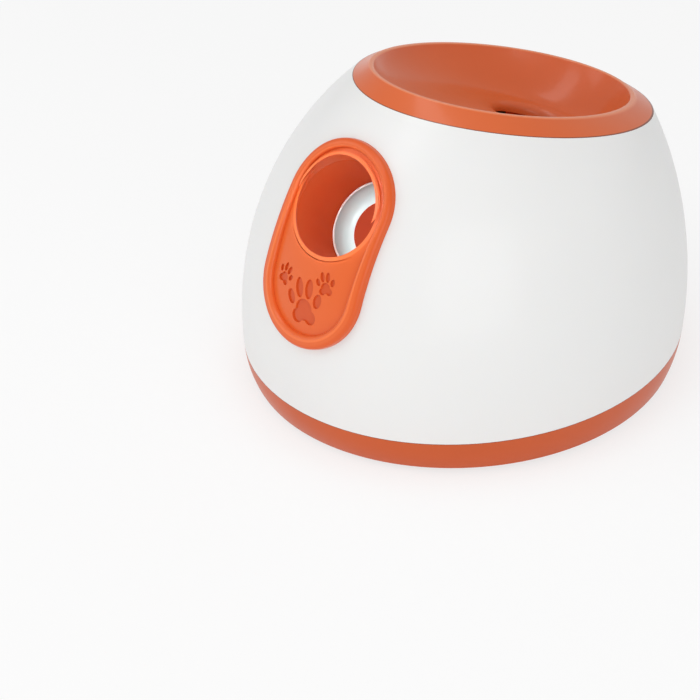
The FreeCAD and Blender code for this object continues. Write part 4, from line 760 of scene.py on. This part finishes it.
# ------------------------------------------------------------------ workbench
class Workbench:
    """Modelling by operators: each call leaves a finished object at the origin, untransformed."""

    @staticmethod
    def clear() -> None:
        """Deselects everything."""
        if bpy.context.object and bpy.context.object.mode != "OBJECT":
            bpy.ops.object.mode_set(mode="OBJECT")
        bpy.ops.object.select_all(action="DESELECT")

    @staticmethod
    def settle(name: str, smooth_angle: float = 35.0) -> bpy.types.Object:
        """Names the active object, bakes its place into its mesh and smooths it.

        Args:
            name: The piece's name.
            smooth_angle: Edges sharper than this many degrees stay sharp.

        Returns:
            The object.
        """
        piece = bpy.context.object
        piece.name = name
        piece.data.name = name
        bpy.ops.object.transform_apply(location=True, rotation=True, scale=True)
        bpy.ops.object.mode_set(mode="EDIT")
        bpy.ops.mesh.select_all(action="SELECT")
        bpy.ops.mesh.remove_doubles(threshold=1e-7)
        bpy.ops.mesh.normals_make_consistent(inside=False)
        bpy.ops.object.mode_set(mode="OBJECT")
        bpy.ops.object.shade_smooth_by_angle(angle=math.radians(smooth_angle))
        return piece

    @staticmethod
    def choose(kind: str, test: Callable[[Vector], bool]) -> None:
        """Selects the active mesh's elements by place and enters edit mode.

        Args:
            kind: FACE or VERT.
            test: Says whether an element with that centre is wanted.
        """
        bpy.ops.object.mode_set(mode="EDIT")
        bpy.ops.mesh.select_mode(type=kind)
        bpy.ops.mesh.select_all(action="DESELECT")
        bpy.ops.object.mode_set(mode="OBJECT")
        mesh = bpy.context.object.data
        for item in mesh.polygons if kind == "FACE" else mesh.vertices:
            item.select = test(item.center if kind == "FACE" else item.co)
        bpy.ops.object.mode_set(mode="EDIT")

    @classmethod
    def block(
        cls, name: str, centre: Point, size: Point, round_by: float, turn: Point = (0.0, 0.0, 0.0)
    ) -> bpy.types.Object:
        """A block with rounded edges.

        Args:
            name: The piece's name.
            centre: Its centre in metres.
            size: Its full size in metres.
            round_by: The rounding of its edges in metres.
            turn: Its turn about each axis in degrees.

        Returns:
            The finished object.
        """
        cls.clear()
        turned = tuple(math.radians(angle) for angle in turn)
        bpy.ops.mesh.primitive_cube_add(size=1.0, location=centre, rotation=turned)
        bpy.context.object.scale = size
        bpy.ops.object.transform_apply(location=False, rotation=False, scale=True)
        bpy.ops.object.mode_set(mode="EDIT")
        bpy.ops.mesh.select_all(action="SELECT")
        bpy.ops.mesh.bevel(offset=round_by, segments=3, affect="EDGES")
        bpy.ops.object.mode_set(mode="OBJECT")
        return cls.settle(name)

    @classmethod
    def hoop(
        cls, name: str, centre: Point, radius: float, thickness: float, turn: Point, flatten: float = 1.0
    ) -> bpy.types.Object:
        """A round-section ring.

        Args:
            name: The piece's name.
            centre: Its centre in metres.
            radius: Radius of its centre line.
            thickness: Radius of its section.
            turn: Its turn about each axis in degrees.
            flatten: Factor on its thickness along its own axis.

        Returns:
            The finished object.
        """
        cls.clear()
        turned = tuple(math.radians(angle) for angle in turn)
        bpy.ops.mesh.primitive_torus_add(
            location=centre, rotation=turned, major_radius=radius, minor_radius=thickness,
            major_segments=96, minor_segments=14,
        )
        bpy.context.object.scale = (1.0, 1.0, flatten)
        return cls.settle(name, 60.0)

    @classmethod
    def coil(
        cls, name: str, foot: Point, pitch_down: float, radius: float, wire: float, rise: float, turns: int
    ) -> bpy.types.Object:
        """A coil spring of round wire, wound up its own axis.

        Args:
            name: The piece's name.
            foot: The middle of its first turn's start.
            pitch_down: Turn of its axis from upright about X, in degrees.
            radius: Radius of the wire's centre line.
            wire: Radius of the wire.
            rise: Length from the first turn's start to the last one's end.
            turns: Number of turns.

        Returns:
            The finished object.
        """
        cls.clear()
        bpy.ops.mesh.primitive_circle_add(
            vertices=12, radius=wire, location=(radius, 0.0, 0.0), rotation=(math.pi / 2, 0.0, 0.0)
        )
        bpy.ops.object.transform_apply(location=True, rotation=True, scale=True)
        winding = bpy.context.object.modifiers.new("winding", "SCREW")
        winding.axis = "Z"
        winding.iterations = turns
        winding.screw_offset = rise / turns
        winding.steps = winding.render_steps = 36
        bpy.ops.object.modifier_apply(modifier=winding.name)
        bpy.ops.object.mode_set(mode="EDIT")
        bpy.ops.mesh.select_all(action="SELECT")
        bpy.ops.mesh.remove_doubles(threshold=1e-7)
        bpy.ops.mesh.select_all(action="DESELECT")
        bpy.ops.mesh.select_non_manifold()
        bpy.ops.mesh.fill_holes(sides=0)
        bpy.ops.object.mode_set(mode="OBJECT")
        bpy.context.object.location = foot
        bpy.context.object.rotation_euler = (math.radians(pitch_down), 0.0, 0.0)
        return cls.settle(name, 60.0)

    @classmethod
    def joined(cls, name: str, parts: Iterable[bpy.types.Object]) -> bpy.types.Object:
        """Joins several finished objects into one.

        Args:
            name: The joined piece's name.
            parts: The objects.

        Returns:
            The joined object.
        """
        cls.clear()
        for part in parts:
            part.select_set(True)
            bpy.context.view_layer.objects.active = part
        bpy.ops.object.join()
        piece = bpy.context.object
        piece.name = name
        piece.data.name = name
        return piece


def dress(finish: Finish, *nodes: str) -> None:
    """Gives CAD nodes a finish.

    Args:
        finish: The finish.
        nodes: The nodes' names.
    """
    for node in nodes:
        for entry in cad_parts[node].material_slots:
            entry.material = finish.material()


def fit(piece: bpy.types.Object, finish: Finish, body: str) -> None:
    """Finishes a new piece and fixes it to a body.

    Args:
        piece: The object.
        finish: Its finish.
        body: The body that it moves with.
    """
    piece.data.materials.clear()
    piece.data.materials.append(finish.material())
    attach(piece, body)


# ------------------------------------------------------------------ sub-assemblies
@dataclass
class Housing:
    """White case, orange base and the feet."""

    name: str = "housing"

    def build(self) -> None:
        """Dresses the case, base and feet."""
        dress(Finish.CASE, "upper_shell")
        dress(Finish.BASE, "base_tray")
        dress(Finish.FEET, "rubber_feet")
        dress(Finish.STEEL, "case_screws", "chassis_screws", "gearbox_screws", "panel_screws")


@dataclass
class FeedPath:
    """Funnel, chute, gate and ball sensor."""

    name: str = "feed path"

    def build(self) -> None:
        """Dresses the pieces that the ball rolls through."""
        dress(Finish.FUNNEL, "funnel")
        dress(Finish.TUNNEL, "ball_chute", "ball_gate")
        dress(Finish.FRAME, "gate_servo", "ball_lever")
        dress(Finish.STEEL, "lever_pin")
        dress(Finish.BLACK, "ball_switch")


@dataclass
class Outlet:
    """Bezel, barrel, striker and the spring behind it."""

    name: str = "outlet"
    axis_turn: float = -130.0
    spring_radius: float = 15.0 * MM
    spring_wire: float = 1.1 * MM
    spring_foot: float = 61.15 * MM
    spring_end: float = 176.85 * MM
    spring_turns: int = 11
    stroke: float = 74.9 * MM

    def build(self) -> None:
        """Dresses the outlet."""
        dress(Finish.BEZEL, "outlet_bezel")
        dress(Finish.TUNNEL, "launch_barrel")
        dress(Finish.FRAME, "barrel_end_cap")
        dress(Finish.STRIKER, "striker_head")
        dress(Finish.HUB, "striker_cap")
        dress(Finish.STEEL, "striker_pin")
        way = Vector(BORE_WAY)
        foot = tuple(Vector(MOUTH) + way * self.spring_foot)
        rise = self.spring_end - self.spring_foot
        spring = Workbench.coil(
            "launch_spring_coil", foot, self.axis_turn,
            self.spring_radius, self.spring_wire, rise, self.spring_turns,
        )
        fit(spring, Finish.SPRING, "launcher")
        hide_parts("launch_spring")
        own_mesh(spring)


@dataclass
class Drive:
    """Motor, gear train, rack and their frame."""

    name: str = "drive"

    def build(self) -> None:
        """Dresses the drive."""
        dress(Finish.GEAR, "rack", "cocking_gear", "driven_gear", "second_gear", "first_gear")
        dress(Finish.BRASS, "motor_pinion", "shaft_bushes")
        dress(Finish.STEEL, "motor", "motor_shaft", "cocking_shaft", "gear_axles")
        dress(Finish.FRAME, "chassis", "gearbox_plate", "gearbox_cover")


@dataclass
class PowerBay:
    """Cells, contacts and the battery door with its grip ribs."""

    name: str = "power bay"
    rib_count: int = 5
    rib_pitch: float = 4.0 * MM
    rib_size: Point = (30.0 * MM, 1.6 * MM, 1.0 * MM)
    rib_round: float = 0.45 * MM
    from_latch: float = 14.0 * MM

    def build(self) -> None:
        """Dresses the bay and adds the grip ribs."""
        dress(Finish.CELL, "battery_cells")
        dress(Finish.STEEL, "battery_contacts")
        dress(Finish.DOOR, "battery_door")
        low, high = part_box("battery_door")
        ribs = []
        for index in range(self.rib_count):
            centre = (0.0, high[1] - self.from_latch - index * self.rib_pitch, low[2])
            ribs.append(Workbench.block(f"door_rib_{index}", centre, self.rib_size, self.rib_round))
        fit(Workbench.joined("door_grip_ribs", ribs), Finish.DOOR, "door")


@dataclass
class RearControls:
    """Rear panel with two buttons, three lamps and the power inlet."""

    name: str = "rear controls"
    ring_radius: float = 2.9 * MM
    stroke: float = 0.45 * MM
    gap_half_angle: float = 34.0
    mark_sunk: float = 0.15 * MM
    mark_round: float = 0.15 * MM
    chevron_arm: float = 4.0 * MM
    chevron_half: float = 1.25 * MM
    chevron_rise: float = 1.5 * MM
    chevron_turn: float = 40.0

    def build(self) -> None:
        """Dresses the panel and adds the marks on the buttons."""
        dress(Finish.PANEL, "control_panel")
        dress(Finish.DOOR, "power_button", "distance_button")
        dress(Finish.LENS, "indicator_lenses")
        dress(Finish.BLACK, "power_inlet")
        dress(Finish.BOARD, "main_board", "control_board")
        self.power_mark()
        self.distance_mark()

    def face_centre(self, node: str) -> Vector:
        """Middle of the mark in a button's outer face, in metres."""
        low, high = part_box(node)
        return Vector(((low[0] + high[0]) / 2, high[1] - self.mark_sunk, (low[2] + high[2]) / 2))

    def power_mark(self) -> None:
        """The usual broken ring and bar on the power button."""
        centre = self.face_centre("power_button")
        upright = (90.0, 0.0, 0.0)
        ring = Workbench.hoop("power_ring", tuple(centre), self.ring_radius, self.stroke, upright, 0.5)
        Workbench.clear()
        bpy.context.view_layer.objects.active = ring
        ring.select_set(True)

        def in_gap(point: Vector) -> bool:
            """True at the top of the ring, where the bar passes."""
            angle = math.degrees(math.atan2(point.x - centre.x, point.z - centre.z))
            return abs(angle) < self.gap_half_angle

        Workbench.choose("FACE", in_gap)
        bpy.ops.mesh.delete(type="FACE")
        bpy.ops.mesh.select_mode(type="EDGE")
        bpy.ops.mesh.select_non_manifold()
        bpy.ops.mesh.fill_holes(sides=0)
        bpy.ops.object.mode_set(mode="OBJECT")
        bar_centre = (centre.x, centre.y, centre.z + self.ring_radius * 0.75)
        bar_size = (2 * self.stroke, self.stroke, self.ring_radius * 1.1)
        bar = Workbench.block("power_bar", bar_centre, bar_size, self.mark_round)
        fit(Workbench.joined("power_mark", [ring, bar]), Finish.MARK, "power")

    def distance_mark(self) -> None:
        """Two stacked chevrons on the distance button."""
        centre = self.face_centre("distance_button")
        bars = []
        for row in (-1, 1):
            for side in (-1, 1):
                across, upward = side * self.chevron_half, row * self.chevron_rise
                where = (centre.x + across, centre.y, centre.z + upward)
                size = (self.chevron_arm, self.stroke, 2 * self.stroke)
                turn = (0.0, side * self.chevron_turn, 0.0)
                bars.append(Workbench.block(f"chevron_{row}_{side}", where, size, self.mark_round, turn))
        fit(Workbench.joined("distance_mark", bars), Finish.MARK, "distance")


# ------------------------------------------------------------------ stage, light and camera
@dataclass(frozen=True)
class SoftLamp:
    """A soft lamp aimed at the launcher: its place and sides in metres, and its power in watts."""

    name: str
    where: Point
    width: float
    length: float
    power: float

    def build(self) -> None:
        """Makes the lamp."""
        light = bpy.data.lights.new(self.name, "AREA")
        light.shape = "RECTANGLE"
        light.size = self.width
        light.size_y = self.length
        light.energy = self.power
        lamp = bpy.data.objects.new(self.name, light)
        bpy.context.scene.collection.objects.link(lamp)
        aim = Vector(AIM) - Vector(self.where)
        turned = aim.to_track_quat("-Z", "Y").to_matrix().to_4x4()
        lamp.matrix_world = Matrix.Translation(self.where) @ turned


@dataclass(frozen=True)
class BoreLamp:
    """A narrow lamp straight down the barrel: metres from the mouth, full angle in degrees, and watts."""

    name: str
    away: float
    spread: float
    power: float

    def build(self) -> None:
        """Makes the lamp."""
        light = bpy.data.lights.new(self.name, "SPOT")
        light.energy = self.power
        light.spot_size = math.radians(self.spread)
        light.spot_blend = 0.2
        light.shadow_soft_size = 0.01
        lamp = bpy.data.objects.new(self.name, light)
        bpy.context.scene.collection.objects.link(lamp)
        way = Vector(BORE_WAY)
        where = Matrix.Translation(Vector(MOUTH) - way * self.away)
        lamp.matrix_world = where @ way.to_track_quat("-Z", "Y").to_matrix().to_4x4()


@dataclass
class Studio:
    """Plain pale floor, lamps and a white world."""

    name: str = "studio"
    floor_half: float = 3.0
    floor_drop: float = 0.2 * MM
    floor_glow: float = 0.72
    world_light: float = 0.58
    lamps: tuple[SoftLamp | BoreLamp, ...] = (
        SoftLamp("key", (-1.1, -1.3, 0.8), 1.0, 1.0, 4.4),
        SoftLamp("fill", (1.7, -1.1, 0.6), 1.6, 1.6, 13.0),
        SoftLamp("top", (-0.08, -0.5, 1.6), 0.55, 1.7, 5.8),
        BoreLamp("bore", 0.9, 3.55, 34.0),
    )

    def build(self) -> None:
        """Sets the stage and the light."""
        self.floor()
        self.world()
        for lamp in self.lamps:
            lamp.build()
        bpy.context.scene.view_settings.view_transform = "Standard"

    def floor(self) -> None:
        """A white floor that keeps the object's shadow."""
        Workbench.clear()
        bpy.ops.mesh.primitive_plane_add(size=2 * self.floor_half, location=(0.0, 0.0, -self.floor_drop))
        floor = Workbench.settle("floor")
        graph = Graph("floor_white")
        matt = graph.node("ShaderNodeBsdfDiffuse", None, {"Color": linear((250, 250, 250))})
        glow = graph.node("ShaderNodeEmission", None, {"Color": (1.0, 1.0, 1.0, 1.0), "Strength": 1.0})
        seen = self.seen(graph) * self.floor_glow
        mixed = graph.node("ShaderNodeMixShader", None, {0: seen, 1: matt, 2: glow})
        graph.tree.links.new(mixed.socket, graph.output.inputs["Surface"])
        floor.data.materials.append(graph.material)

    @staticmethod
    def seen(graph: Graph) -> Value:
        """1 for camera, glossy and transmission rays, and 0 for others."""
        kinds = ("Camera", "Glossy", "Transmission")
        camera, glossy, passed = (graph.node("ShaderNodeLightPath", output=f"Is {kind} Ray") for kind in kinds)
        return (camera + glossy + passed).clamped(0.0, 1.0)

    def world(self) -> None:
        """A white surround to the eye, and dimmer as a light."""
        world = bpy.data.worlds.new("surround")
        bpy.context.scene.world = world
        world.use_nodes = True
        tree = world.node_tree
        tree.nodes.clear()
        background = tree.nodes.new("ShaderNodeBackground")
        output = tree.nodes.new("ShaderNodeOutputWorld")
        path = tree.nodes.new("ShaderNodeLightPath")
        level = tree.nodes.new("ShaderNodeMapRange")
        level.inputs["To Min"].default_value = self.world_light
        level.inputs["To Max"].default_value = 1.0
        background.inputs["Color"].default_value = (1.0, 1.0, 1.0, 1.0)
        tree.links.new(path.outputs["Is Camera Ray"], level.inputs["Value"])
        tree.links.new(level.outputs[0], background.inputs["Strength"])
        tree.links.new(background.outputs[0], output.inputs["Surface"])


@dataclass
class Viewpoint:
    """The camera: where it stands round the launcher, and where the launcher's middle falls in the frame."""

    name: str = "viewpoint"
    azimuth: float = 41.4
    elevation: float = 29.55
    distance: float = 1.3
    target: Point = AIM
    target_px: Pair = (463.7, 208.5)
    focal_px: float = 2076.6
    frame_px: float = 700.0
    sensor_mm: float = 36.0

    def build(self) -> None:
        """Makes the camera and sets it as the scene's."""
        turn, rise = math.radians(self.azimuth), math.radians(self.elevation)
        back = Vector((math.sin(turn) * math.cos(rise), -math.cos(turn) * math.cos(rise), math.sin(rise)))
        right = (-back).cross(Vector((0.0, 0.0, 1.0))).normalized()
        up = right.cross(-back)
        across = (self.target_px[0] - self.frame_px / 2) / self.focal_px
        down = (self.frame_px / 2 - self.target_px[1]) / self.focal_px
        look = (-back - across * right - down * up).normalized()
        side = look.cross(Vector((0.0, 0.0, 1.0))).normalized()
        top = side.cross(look)
        lens = bpy.data.cameras.new("camera")
        lens.sensor_width = self.sensor_mm
        lens.lens = self.focal_px / self.frame_px * self.sensor_mm
        camera = bpy.data.objects.new("camera", lens)
        bpy.context.scene.collection.objects.link(camera)
        turned = Matrix((side, top, -look)).transposed().to_4x4()
        camera.matrix_world = Matrix.Translation(Vector(self.target) + back * self.distance) @ turned
        bpy.context.scene.camera = camera


def main() -> None:
    """Builds the stage, the camera and each sub-assembly in turn."""
    logging.basicConfig(level=logging.INFO, format="%(name)s: %(message)s")
    parts = (
        Studio(), Viewpoint(), Housing(), FeedPath(), Outlet(), Drive(), PowerBay(), RearControls(),
    )
    for part in parts:
        part.build()
        LOG.info("built %s", part.name)


if __name__ == "__main__":
    main()
